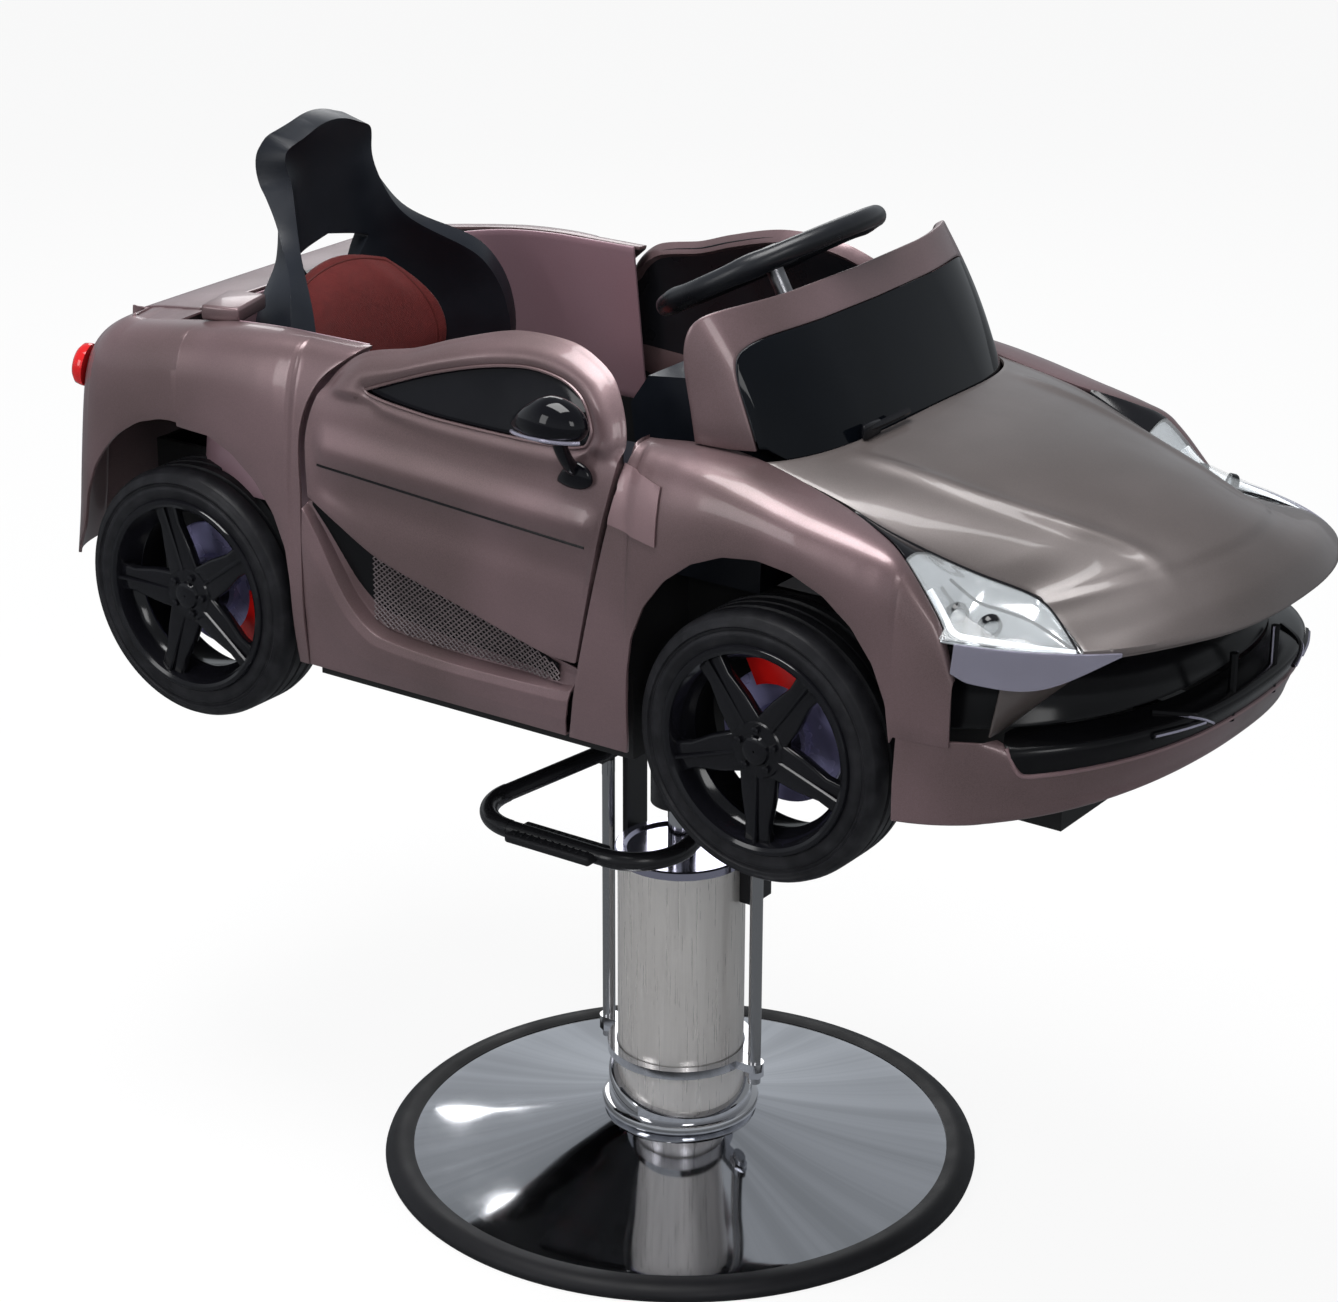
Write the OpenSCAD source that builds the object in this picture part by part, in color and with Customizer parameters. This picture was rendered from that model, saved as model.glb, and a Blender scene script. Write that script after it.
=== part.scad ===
// Kids car barber chair: a toy sports car that turns and rises on a pump-lift base.
// Millimetres. +Z is up, the floor is z = 0, the column stands on the Z axis,
// and the car points along -Y.

/* [Base] */
// Diameter of the base over its rubber ring
base_d = 600; // [560:5:660]
// Width of the rubber ring
ring_w = 28; // [20:1:36]
// Height of the rubber ring
ring_h = 16; // [12:1:22]
// Rise of the chrome cover from the ring to the collar
cover_rise = 40; // [30:1:55]
// Sheet thickness of the chrome cover
cover_t = 2; // [1.5:0.5:3]
// Outer diameter of the chrome column
column_d = 127; // [116:1:136]
// Height of the column's top edge
column_top = 330; // [300:2:345]
// Wall of the chrome column
column_t = 2.5; // [2:0.5:4]
// Height of the collar at the foot of the column
collar_h = 44; // [30:1:60]

/* [Lift] */
// Diameter of the piston rod
piston_d = 28; // [24:1:34]
// Outer diameter of the pump cylinder
pump_d = 92; // [84:1:100]
// Wall of the pump cylinder
pump_t = 7; // [5:0.5:10]
// Height of the piston head
piston_head_h = 30; // [20:1:40]
// Thickness of the cylinder head's flange
head_t = 9; // [6:1:12]
// Diameter of the flange that the car turns on
hub_d = 150; // [130:2:170]
// Thickness of that flange
hub_t = 12; // [8:1:16]
// Diameter of the turning spindle
spindle_d = 32; // [26:1:40]

/* [Pump lever] */
// Diameter of the lever's tube
lever_d = 17; // [14:1:20]
// Reach of the lever's loop from the column's centre line
lever_reach = 205; // [190:5:220]
// Width of the lever's loop over its centre line
lever_w = 214; // [200:2:230]
// Height of the lever's pivot
lever_z = 425; // [420:1:432]
// Drop of the loop's far end below the pivot
lever_drop = 8; // [0:1:16]
// Length of the foot pad
pad_l = 96; // [80:2:110]
// Width of the foot pad
pad_w = 34; // [26:1:40]
// Thickness of the foot pad over the tube
pad_t = 6; // [4:1:9]
// Diameter of the push rods
rod_d = 13; // [10:1:15]
// Distance of each push rod from the column's centre line
rod_y = 89; // [86:1:92]

/* [Car] */
// Length of the car at the height of its lights
car_l = 1200; // [1160:10:1260]
// Width of the car over its sides
car_w = 528; // [510:2:548]
// Height of the side sills' lower edge above the floor
ride_z = 556; // [550:1:570]
// Height of the body from the sills to the rear fender ridge
body_h = 311; // [296:1:326]
// Wall of the moulded body panels
skin_t = 4; // [3:0.5:5]
// Gap at the seams between body panels
seam = 0.6; // [0.4:0.1:1]
// Distance between the axles
wheelbase = 657; // [640:1:672]
// Place of the rear axle behind the column
rear_axle_y = 401; // [392:1:408]

/* [Wheels] */
// Diameter of the tyres
tyre_d = 250; // [240:1:256]
// Width of the tyres
tyre_w = 74; // [66:1:80]
// Diameter of the rims
rim_d = 194; // [184:1:200]
// Number of spokes
spokes = 5; // [4:1:7]
// Height of the axles above the sills' lower edge
axle_rise = 38; // [32:1:42]
// Diameter of the axles
axle_d = 12; // [10:1:14]
// Radius of the wheel arches
arch_r = 135; // [134:1:138]
// Height of the arches' centre above the axles
arch_lift = 41; // [36:1:46]

/* [Cabin] */
// Diameter of the steering wheel
steering_d = 226; // [200:2:240]
// Thickness of the steering wheel's rim
grip_d = 18; // [14:1:22]
// Tilt of the steering shaft from the vertical, in degrees
steering_tilt = 28.8; // [26:0.2:30]
// Thickness of the windscreen
pane_t = 3; // [2:0.5:4]
// Thickness of the seat shell
shell_t = 9; // [7:1:12]
// Thickness of the seat's back pad at its crown
back_pad_t = 26; // [18:1:32]
// Thickness of the seat pad at its crown
seat_pad_t = 34; // [24:1:40]
// Thickness of the doors
door_t = 13; // [10:1:16]
// Gap around the doors
door_gap = 4.5; // [4:0.5:6]
// Diameter of the hinge pins
pin_d = 8; // [6:1:10]

/* [Hidden] */
$fn = 48;

// General clearances
run_gap = 0.05;
free_gap = 0.3;
cut = 1;

// Base
base_r = base_d / 2;
column_r = column_d / 2;
cover_top = ring_h + cover_rise;
collar_wall = 9;
collar_r = column_r + collar_wall;
collar_slant = 10;
collar_foot = 6;
weight_floor = 12;
flange_lip = 3;

// Lift
piston_r = piston_d / 2;
pump_r = pump_d / 2;
head_r = column_r + flange_lip;
head_dish = 3;
head_rim = 9;
head_top = column_top + head_t;
spindle_r = spindle_d / 2;
floor_drop = 16;
floor_t = 6;
rail_h = 38;
rail_w = 30;
rail_wall = 3;
rail_x = 95;
rail_l = 640;
rail_back = 340;
plate_t = 8;
plate_w = 260;
plate_l = 220;
tub_z = ride_z - floor_drop;
plate_z = tub_z - rail_h - plate_t;
hub_stem_r = 31;
hub_drop = 38;
hub_bottom = lever_z - hub_drop;
spindle_over = 5;
bolt_d = 8;
bolt_head_d = 15;
bolt_head_h = 6;
bolt_span = 170;

// Pump lever and its linkage
lever_r = lever_d / 2;
rod_r = rod_d / 2;
lever_corner = 52;
pivot_x = 26;
arm_t = 6;
arm_y = 82;
arm_h = 23;
arm_eye_r = 13;
lever_pin_r = 5;
bracket_t = 6;
bracket_y = 75;
bracket_w = 34;
bracket_foot = 40;
link_pin_r = 4;
link_slack = 1.4;
eye_t = 7;
eye_r = 10;
rod_neck = 16;
crosshead_rise = 16;
crosshead_z = cover_top + collar_h + crosshead_rise;
crosshead_t = 9;
crosshead_w = 18;
rod_nut_d = 19;
rod_nut_h = 7;
rod_tail = 14;

// Car frame
function yy(share) = car_l * (share - 0.53);
function xx(share) = share * car_w / 2;
function zz(share) = ride_z + share * body_h;
axle_z = ride_z + axle_rise;
front_axle_y = rear_axle_y - wheelbase;
arch_z = axle_z + arch_lift;
tyre_r = tyre_d / 2;
rim_r = rim_d / 2;
axle_r = axle_d / 2;
side_x = car_w / 2;
wheel_in = side_x - tyre_w;

// A smooth curve through the points [place, value] of a table
function seg(tab, t, i = 0) = i >= len(tab) - 2 || t < tab[i + 1][0] ? i : seg(tab, t, i + 1);
function slope(tab, i) = i == 0 ? (tab[1][1] - tab[0][1]) / (tab[1][0] - tab[0][0])
    : i == len(tab) - 1 ? (tab[i][1] - tab[i - 1][1]) / (tab[i][0] - tab[i - 1][0])
    : (tab[i + 1][1] - tab[i - 1][1]) / (tab[i + 1][0] - tab[i - 1][0]);
function curve(tab, t0) = let (
    t = min(max(t0, tab[0][0]), tab[len(tab) - 1][0]), i = seg(tab, t),
    h = tab[i + 1][0] - tab[i][0], s = (t - tab[i][0]) / h,
    m0 = slope(tab, i) * h, m1 = slope(tab, i + 1) * h)
    (2 * s ^ 3 - 3 * s ^ 2 + 1) * tab[i][1] + (s ^ 3 - 2 * s ^ 2 + s) * m0
    + (3 * s ^ 2 - 2 * s ^ 3) * tab[i + 1][1] + (s ^ 3 - s ^ 2) * m1;
function lerp(a, b, t) = a + (b - a) * t;
function power(c, n) = (c < 0 ? -1 : 1) * pow(abs(c), 2 / n);

// A plan curve round the nose: angle -90 is the right side, 0 the nose's centre
nose_start = yy(0.23);
nose_n = 2.4;
chin_share = 0.14;
lip_share = 0.57;
function nose_len(z) = let (t = (z - zz(chin_share)) / (zz(lip_share) - zz(chin_share)))
    nose_start - lerp(yy(0.04), yy(0), min(max(t, 0), 1));
function nose_x(a) = side_x * power(sin(a), nose_n);
function nose_y(a, z) = nose_start - nose_len(z) * power(cos(a), nose_n);
function nose_half(y) = y > nose_start ? side_x
    : side_x * pow(max(1 - pow(min((nose_start - y) / nose_len(zz(0.5)), 1), nose_n), 0), 1 / nose_n);

// A closed skin over the surface f(u, v), thickened towards the body's inside.
// wall is a number, or a function of u and v; side is 1 or -1.
function du(f, u, v, e = 0.004) = f(min(u + e, 1), v) - f(max(u - e, 0), v);
function dv(f, u, v, e = 0.004) = f(u, min(v + e, 1)) - f(u, max(v - e, 0));
function unit(a) = a / norm(a);
function ring_du(f, u, v, e = 0.004) = f(u + e, v) - f(u - e, v);
function skin_points(f, nu, nv, wall, side) = [for (k = [0, 1]) for (i = [0 : nu]) for (j = [0 : nv])
    let (u = i / nu, v = j / nv, w = is_function(wall) ? wall(u, v) : wall)
    k == 0 ? f(u, v) : f(u, v) + side * w * unit(cross(du(f, u, v), dv(f, u, v)))];
function quad(a, b, c, d, flip) = flip ? [[a, c, b], [a, d, c]] : [[a, b, c], [a, c, d]];

module skin(f, nu, nv, wall, side = 1) {
    n = (nu + 1) * (nv + 1);
    flip = side < 0;
    faces = [
        for (i = [0 : nu - 1]) for (j = [0 : nv - 1]) let (a = i * (nv + 1) + j, b = a + nv + 1)
            for (q = concat(quad(a, b, b + 1, a + 1, flip), quad(n + a + 1, n + b + 1, n + b, n + a, flip))) q,
        for (i = [0 : nu - 1]) let (a = i * (nv + 1), b = a + nv + 1, c = a + nv, d = b + nv)
            for (q = concat(quad(n + a, n + b, b, a, flip), quad(c, d, n + d, n + c, flip))) q,
        for (j = [0 : nv - 1]) let (a = j, b = j + 1, c = nu * (nv + 1) + j, d = c + 1)
            for (q = concat(quad(a, b, n + b, n + a, flip), quad(n + c, n + d, d, c, flip))) q];
    polyhedron(skin_points(f, nu, nv, wall, side), faces);
}

// A closed ring of skin: u runs round an opening, v from its edge outwards
module ring_skin(f, nu, nv, wall, side = 1) {
    n = nu * (nv + 1);
    flip = side < 0;
    points = [for (k = [0, 1]) for (i = [0 : nu - 1]) for (j = [0 : nv]) let (u = i / nu, v = j / nv)
        k == 0 ? f(u, v) : f(u, v) + side * wall * unit(cross(ring_du(f, u, v), dv(f, u, v)))];
    faces = [
        for (i = [0 : nu - 1]) for (j = [0 : nv - 1])
            let (a = i * (nv + 1) + j, b = ((i + 1) % nu) * (nv + 1) + j)
            for (q = concat(quad(a, b, b + 1, a + 1, flip), quad(n + a + 1, n + b + 1, n + b, n + a, flip))) q,
        for (i = [0 : nu - 1]) let (a = i * (nv + 1), b = ((i + 1) % nu) * (nv + 1), c = a + nv, d = b + nv)
            for (q = concat(quad(n + a, n + b, b, a, flip), quad(c, d, n + d, n + c, flip))) q];
    polyhedron(points, faces);
}

// A closed plate inside a closed outline: edge(u) gives its rim, middle its centre
module plate_skin(edge, middle, nu, shift) {
    points = concat([for (i = [0 : nu - 1]) edge(i / nu)], [middle],
        [for (i = [0 : nu - 1]) edge(i / nu) + shift], [middle + shift]);
    m = nu + 1;
    flip = shift[0] < 0;
    faces = [for (i = [0 : nu - 1]) let (a = i, b = (i + 1) % nu)
        for (q = flip ? [[nu, b, a], [m + nu, m + a, m + b], [a, b, m + b], [a, m + b, m + a]]
            : [[nu, a, b], [m + nu, m + b, m + a], [b, a, m + a], [b, m + a, m + b]]) q];
    polyhedron(points, faces);
}

module both() {
    children();
    mirror([1, 0, 0]) children();
}

// Place on a side: 1 is the car's left (+X), -1 its right
module on_side(side) {
    mirror([side < 0 ? 1 : 0, 0, 0]) children();
}

module tube(r_out, r_in, h) {
    difference() {
        cylinder(r = r_out, h = h);
        translate([0, 0, -cut]) cylinder(r = r_in, h = h + 2 * cut);
    }
}

// Base

cover_shares = [[0, 1], [0.3, 0.62], [0.65, 0.27], [1, 0]];
function cover_r(t) = lerp(collar_r - collar_foot, base_r - ring_w, t);
function cover_z(t) = ring_h - cover_t + (cover_rise + cover_t) * curve(cover_shares, t);
cover_steps = 6;

module base_weight() {
    color("dimgray") rotate_extrude($fn = 96) polygon(concat(
        [[0, 0], [base_r - ring_w, 0]],
        [for (i = [cover_steps : -1 : 0]) [cover_r(i / cover_steps), cover_z(i / cover_steps) - cover_t]],
        [[pump_r, cover_z(0) - cover_t], [pump_r, weight_floor], [0, weight_floor]]));
}

module base_cover() {
    color("silver") rotate_extrude($fn = 96) polygon(concat(
        [for (i = [0 : cover_steps]) [cover_r(i / cover_steps), cover_z(i / cover_steps)]],
        [for (i = [cover_steps : -1 : 0]) [cover_r(i / cover_steps), cover_z(i / cover_steps) - cover_t]]));
}

module base_rim() {
    color([0.08, 0.08, 0.09]) rotate_extrude($fn = 96)
        polygon([[base_r - ring_w, 0], [base_r - ring_w / 5, 0], [base_r, ring_h / 4],
            [base_r - ring_w / 12, ring_h * 0.7], [base_r - ring_w / 3, ring_h],
            [base_r - ring_w, ring_h - cover_t]]);
}

module column_collar() {
    color("silver") {
        difference() {
            translate([0, 0, cover_z(0)]) tube(collar_r, column_r, collar_h);
            translate([0, 0, cover_z(0) + collar_h]) rotate([-collar_slant, 0, 0])
                translate([-column_d, -2 * column_d, 0]) cube([2 * column_d, 2 * column_d, collar_h]);
        }
        translate([0, 0, cover_z(0) - cover_t]) tube(collar_r - collar_foot, column_r, cover_t);
    }
}

module column_sleeve() {
    color("silver") translate([0, 0, cover_z(0) - cover_t])
        tube(column_r, column_r - column_t, column_top - cover_z(0) + cover_t);
}

module pump_cylinder() {
    color("gray") difference() {
        translate([0, 0, weight_floor]) cylinder(r = pump_r, h = column_top - weight_floor);
        translate([0, 0, weight_floor + pump_t]) cylinder(r = pump_r - pump_t, h = column_top);
    }
}

module cylinder_head() {
    color("silver") rotate_extrude($fn = 64) polygon([
        [piston_r + run_gap, column_top], [head_r, column_top], [head_r, head_top - head_dish / 2],
        [head_r - head_dish / 2, head_top], [head_r - head_rim, head_top],
        [head_r - head_rim - head_dish, head_top - head_dish], [piston_r + run_gap, head_top - head_dish]]);
}

// Pump lever and linkage

// Two steel ears on the column carry the lever's pivot pins
module lever_bracket() {
    color([0.12, 0.12, 0.13]) difference() {
        for (s = [-1, 1]) {
            translate([pivot_x - bracket_w / 2, s * bracket_y - bracket_t / 2, column_top - bracket_foot])
                cube([bracket_w, bracket_t, lever_z - column_top + bracket_foot]);
            translate([pivot_x, s * bracket_y - bracket_t / 2, lever_z]) rotate([-90, 0, 0])
                cylinder(r = bracket_w / 2, h = bracket_t);
            translate([pivot_x - bracket_w / 2, min(0, s * bracket_y), column_top - bracket_foot])
                cube([bracket_w, bracket_y, bracket_w]);
            translate([pivot_x, s * bracket_y, lever_z]) rotate([-s * 90, 0, 0])
                cylinder(r = lever_pin_r, h = arm_y - bracket_y + arm_t);
        }
        translate([0, 0, column_top - bracket_foot - cut]) cylinder(r = column_r, h = lever_z);
    }
}

// The loop runs out from the left arm, round its far end and back to the right arm
loop_start = -eye_r - 4 * link_slack;
lever_tilt = asin(lever_drop / (lever_reach + pivot_x));
corner_x = lever_corner - lever_reach;
corner_y = lever_w / 2 - lever_corner;
corner_way = [loop_start - corner_x, arm_y - corner_y];
corner_from = atan2(corner_way[1], corner_way[0]) + acos(lever_corner / norm(corner_way));
elbow_over = 0.5;
elbow_in = 5;
module rod_between(a, b, r) {
    d = b - a;
    translate(a) rotate([0, acos(d[2] / norm(d)), atan2(d[1], d[0])]) cylinder(r = r, h = norm(d));
}
module on_lever() {
    translate([pivot_x, 0, lever_z]) rotate([0, -lever_tilt, 0]) translate([-pivot_x, 0, 0]) children();
}
module lever_side() {
    way = [-sin(corner_from), cos(corner_from), 0];
    rod_between([loop_start, arm_y, 0],
        [corner_x, corner_y, 0] + lever_corner * [cos(corner_from), sin(corner_from), 0] + elbow_in * way,
        lever_r);
    translate([corner_x, corner_y, 0]) rotate([0, 0, corner_from]) rotate_extrude(angle = 180 - corner_from)
        translate([lever_corner, 0]) circle(r = lever_r + elbow_over);
}

module lever_arm(s) {
    translate([0, s * arm_y - arm_t / 2, 0]) difference() {
        union() {
            translate([pivot_x, 0, lever_z]) rotate([-90, 0, 0]) cylinder(r = arm_eye_r, h = arm_t);
            translate([loop_start - lever_d / 2, 0, lever_z - arm_h / 2])
                cube([pivot_x - loop_start + lever_d / 2, arm_t, arm_h]);
        }
        translate([pivot_x, -cut, lever_z]) rotate([-90, 0, 0])
            cylinder(r = lever_pin_r + run_gap, h = arm_t + 2 * cut);
    }
    translate([0, s * (arm_y + arm_t / 2), lever_z]) rotate([-s * 90, 0, 0])
        cylinder(r = link_pin_r, h = rod_y - arm_y - arm_t / 2 + eye_t);
}

module pump_lever() {
    color([0.1, 0.1, 0.11]) union() {
        lever_arm(1);
        lever_arm(-1);
        on_lever() {
            lever_side();
            mirror([0, 1, 0]) lever_side();
            translate([-lever_reach, -corner_y - elbow_in, 0]) rotate([-90, 0, 0])
                cylinder(r = lever_r, h = 2 * (corner_y + elbow_in));
        }
    }
}

module lever_pad() {
    color([0.12, 0.12, 0.12]) on_lever() translate([-lever_reach, 0, 0]) difference() {
        translate([-pad_w / 2, -pad_l / 2, -lever_r - pad_t]) cube([pad_w, pad_l, lever_d + 2 * pad_t]);
        translate([0, -pad_l, 0]) rotate([-90, 0, 0]) cylinder(r = lever_r + run_gap, h = 2 * pad_l);
    }
}

rod_top = lever_z - rod_neck;
module push_rods() {
    color("silver") for (s = [-1, 1]) translate([0, s * rod_y, 0]) {
        difference() {
            union() {
                translate([0, 0, crosshead_z - rod_tail])
                    cylinder(r = rod_r, h = rod_top - crosshead_z + rod_tail);
                translate([-rod_r, -eye_t / 2, rod_top - rod_neck]) cube([rod_d, eye_t, 2 * rod_neck]);
                translate([0, -eye_t / 2, lever_z]) rotate([-90, 0, 0]) cylinder(r = eye_r, h = eye_t);
            }
            translate([0, -eye_t, lever_z]) rotate([-90, 0, 0])
                cylinder(r = link_pin_r + link_slack, h = 2 * eye_t);
        }
    }
}

module pump_crosshead() {
    color("silver") difference() {
        union() {
            translate([0, 0, crosshead_z])
                cylinder(r = column_r + link_slack + crosshead_w / 2, h = crosshead_t);
            for (s = [-1, 1]) translate([0, s * rod_y, crosshead_z])
                cylinder(r = rod_nut_d / 2, h = crosshead_t);
            translate([-rod_nut_d / 2, -rod_y, crosshead_z]) cube([rod_nut_d, 2 * rod_y, crosshead_t]);
        }
        translate([0, 0, crosshead_z - cut]) cylinder(r = column_r + link_slack, h = crosshead_t + 2 * cut);
        for (s = [-1, 1]) translate([0, s * rod_y, crosshead_z - cut])
            cylinder(r = rod_r, h = crosshead_t + 2 * cut);
    }
    for (s = [-1, 1]) translate([0, s * rod_y, crosshead_z - rod_nut_h]) difference() {
        cylinder(d = rod_nut_d, h = rod_nut_h, $fn = 6);
        translate([0, 0, -cut]) cylinder(r = rod_r, h = rod_nut_h + 2 * cut);
    }
}

// Lift

piston_foot = weight_floor + pump_t + free_gap;
module piston_rod() {
    color("silver") rotate_extrude() polygon([[0, piston_foot], [pump_r - pump_t - run_gap, piston_foot],
        [pump_r - pump_t - run_gap, piston_foot + piston_head_h], [piston_r, piston_foot + piston_head_h],
        [piston_r, hub_bottom + hub_stem_r], [0, hub_bottom + hub_stem_r]]);
}

module swivel_hub() {
    color([0.1, 0.1, 0.11]) rotate_extrude($fn = 64) polygon([
        [piston_r, hub_bottom], [hub_stem_r, hub_bottom], [hub_stem_r, plate_z - 2 * hub_t],
        [hub_d / 2, plate_z - hub_t], [hub_d / 2, plate_z], [spindle_r, plate_z],
        [spindle_r, plate_z + plate_t + spindle_over], [0, plate_z + plate_t + spindle_over],
        [0, hub_bottom + hub_stem_r], [piston_r, hub_bottom + hub_stem_r]]);
}

// Car frame

module mounting_frame() {
    color([0.15, 0.15, 0.16]) {
        difference() {
            translate([-plate_w / 2, -plate_l / 2, plate_z]) cube([plate_w, plate_l, plate_t]);
            translate([0, 0, plate_z - cut]) cylinder(r = spindle_r + run_gap, h = plate_t + 2 * cut);
        }
        rail_at = [-rail_w / 2, rail_back - rail_l, plate_z + plate_t];
        for (s = [-1, 1]) translate([s * rail_x, 0, 0] + rail_at) difference() {
            cube([rail_w, rail_l, rail_h]);
            translate([rail_wall, -cut, rail_wall])
                cube([rail_w - 2 * rail_wall, rail_l + 2 * cut, rail_h - 2 * rail_wall]);
            for (y = [-bolt_span, bolt_span])
                translate([rail_w / 2, rail_l - rail_back + y, rail_h - 2 * rail_wall]) cylinder(d = bolt_d, h = 3 * rail_wall);
        }
    }
}

module plate_bolts() {
    color("silver") for (x = [-rail_x, rail_x], y = [-bolt_span, bolt_span])
        translate([x, y, tub_z - rail_wall]) {
            cylinder(d = bolt_d, h = rail_wall + floor_t);
            translate([0, 0, rail_wall + floor_t]) cylinder(d = bolt_head_d, h = bolt_head_h, $fn = 6);
        }
}

// Half outline of the tub, drawn in by an inset: a spine between the wheels, wide under the cabin
spine_x = xx(0.57);
wide_x = xx(0.895);
tub_nose = yy(0.115);
tub_tail = yy(0.975);
wide_front = front_axle_y + arch_r + 2 * floor_t;
wide_back = rear_axle_y - arch_r - 2 * floor_t;
function tub_half(i) = [[0, tub_nose + i], [spine_x - i, tub_nose + i], [spine_x - i, wide_front + i],
    [wide_x - i, wide_front + i], [wide_x - i, wide_back - i], [spine_x - i, wide_back - i],
    [spine_x - i, tub_tail - i], [0, tub_tail - i]];
function mirror_half(p) = concat(p, [for (i = [len(p) - 2 : -1 : 1]) [-p[i][0], p[i][1]]]);
tub_h = zz(0.46) - tub_z;
fork_w = 14;
axle_window = 2 * (fork_w + free_gap);
fork_t = 8;
king_in = 24;
king_x = side_x - tyre_w - king_in;
king_h = 36;
king_r = 5;
steer_arm = 55;
tie_y = front_axle_y - steer_arm;
tie_r = 5;
seat_room_x = 162;
seat_room_z = zz(0.27);
seat_room_l = 118;
// Stays carry the front fenders, and two horns on the tub's nose the bumper
stay_z = zz(0.225);
stay_w = 12;
stay_h = 24;
stay_l = side_x - skin_t - wide_x - 5.5 * seam;
horn_x = 60;
horn_w = 30;
horn_z = zz(0.17);
horn_h = 26;
horn_y = nose_y(asin(pow(horn_x / side_x, nose_n / 2)), horn_z) + skin_t + 4 * seam;
tie_z = axle_z;

module chassis_tub() {
    color([0.1, 0.1, 0.11]) difference() {
        translate([0, 0, tub_z]) linear_extrude(tub_h) polygon(mirror_half(tub_half(0)));
        translate([0, 0, tub_z + floor_t]) linear_extrude(tub_h) polygon(mirror_half(tub_half(floor_t)));
        for (x = [-rail_x, rail_x]) for (y = [-bolt_span, bolt_span])
            translate([x, y, tub_z - cut]) cylinder(d = bolt_d, h = floor_t + 2 * cut);
        translate([-side_x, front_axle_y - fork_w - free_gap, axle_z - king_h / 2 - fork_t - free_gap])
            cube([car_w, axle_window, king_h + 2 * fork_t + 2 * free_gap]);
        translate([-side_x, tie_y - 3 * tie_r, tie_z - 2 * tie_r]) cube([car_w, 6 * tie_r, 4 * tie_r]);
        translate([-side_x, rear_axle_y, axle_z]) rotate([0, 90, 0]) cylinder(r = axle_r, h = car_w);
        translate([-seat_room_x, wide_back - 2 * floor_t, seat_room_z])
            cube([2 * seat_room_x, seat_room_l, tub_h]);
    }
    color([0.1, 0.1, 0.11]) for (s = [-1, 1]) translate([s * horn_x - horn_w / 2, horn_y, horn_z])
        cube([horn_w, tub_nose - horn_y, horn_h]);
    color([0.1, 0.1, 0.11]) both() translate([wide_x, wide_front, stay_z]) cube([stay_l, stay_w, stay_h]);
}

// The front axle is a beam with a fork and kingpin at each end
module front_axle() {
    color([0.15, 0.15, 0.16]) union() {
        translate([-spine_x / 2, front_axle_y - fork_t / 2, axle_z - king_h / 2])
            cube([spine_x, fork_t, king_h]);
        for (z = [axle_z - king_h / 2 - fork_t, axle_z + king_h / 2])
            translate([-king_x, front_axle_y - fork_w / 2, z]) cube([2 * king_x, fork_w, fork_t]);
        for (s = [-1, 1]) {
            for (z = [axle_z - king_h / 2 - fork_t, axle_z + king_h / 2])
                translate([s * king_x, front_axle_y, z]) cylinder(r = fork_w / 2, h = fork_t);
            translate([s * king_x, front_axle_y, axle_z - king_h / 2 - fork_t / 2])
                cylinder(r = king_r, h = king_h + fork_t);
            translate([s * spine_x / 2 - fork_t / 2, front_axle_y - fork_w / 2, tub_z + floor_t])
                cube([fork_t, fork_w, axle_z - king_h / 2 - tub_z - floor_t]);
        }
    }
}

cap_in = 3;
hub_cap_x = side_x - cap_in;
module rear_axle() {
    color("silver") translate([-hub_cap_x, rear_axle_y, axle_z]) rotate([0, 90, 0])
        cylinder(r = axle_r, h = 2 * hub_cap_x);
}

king_wall = 5;
sleeve_r = king_r + king_wall;
module knuckle() {
    color([0.2, 0.2, 0.21]) {
        difference() {
            union() {
                translate([king_x, front_axle_y, axle_z - king_h / 2 + free_gap])
                    cylinder(r = sleeve_r, h = king_h - 2 * free_gap);
                translate([king_x - tie_r, tie_y, tie_z - 2 * tie_r]) cube([2 * tie_r, steer_arm, tie_r]);
                translate([king_x, tie_y, tie_z - 2 * tie_r]) cylinder(r = tie_r, h = tie_r);
            }
            translate([king_x, front_axle_y, axle_z - king_h])
                cylinder(r = king_r + run_gap, h = 2 * king_h);
        }
        translate([king_x, tie_y, tie_z - tie_r]) cylinder(r = tie_r / 2, h = 2 * tie_r);
        translate([king_x + king_r + 2 * run_gap, front_axle_y, axle_z]) rotate([0, 90, 0])
            cylinder(r = axle_r, h = hub_cap_x - king_x - king_r - 2 * run_gap);
    }
}
module knuckle_left() {
    on_side(1) knuckle();
}
module knuckle_right() {
    on_side(-1) knuckle();
}

tie_slack = 1.8;
crank_r = 18;
slot_w = 9;
slot_l = 30;
module tie_rod() {
    color([0.3, 0.3, 0.31]) difference() {
        union() {
            translate([-king_x, tie_y - tie_r, tie_z - tie_r + free_gap])
                cube([2 * king_x, 2 * tie_r, tie_r]);
            for (s = [-1, 1]) translate([s * king_x, tie_y, tie_z - tie_r + free_gap])
                cylinder(r = 1.5 * tie_r, h = tie_r);
            translate([-1.5 * slot_w, tie_y - slot_l / 2 - tie_r, tie_z - tie_r + free_gap])
                cube([3 * slot_w, slot_l + 2 * tie_r, tie_r]);
        }
        for (s = [-1, 1]) translate([s * king_x, tie_y, 0])
            cylinder(r = tie_r / 2 + tie_slack, h = 2 * axle_z);
        translate([-slot_w / 2, tie_y - slot_l / 2, 0]) cube([slot_w, slot_l, 2 * axle_z]);
    }
}

// Steering

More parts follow.
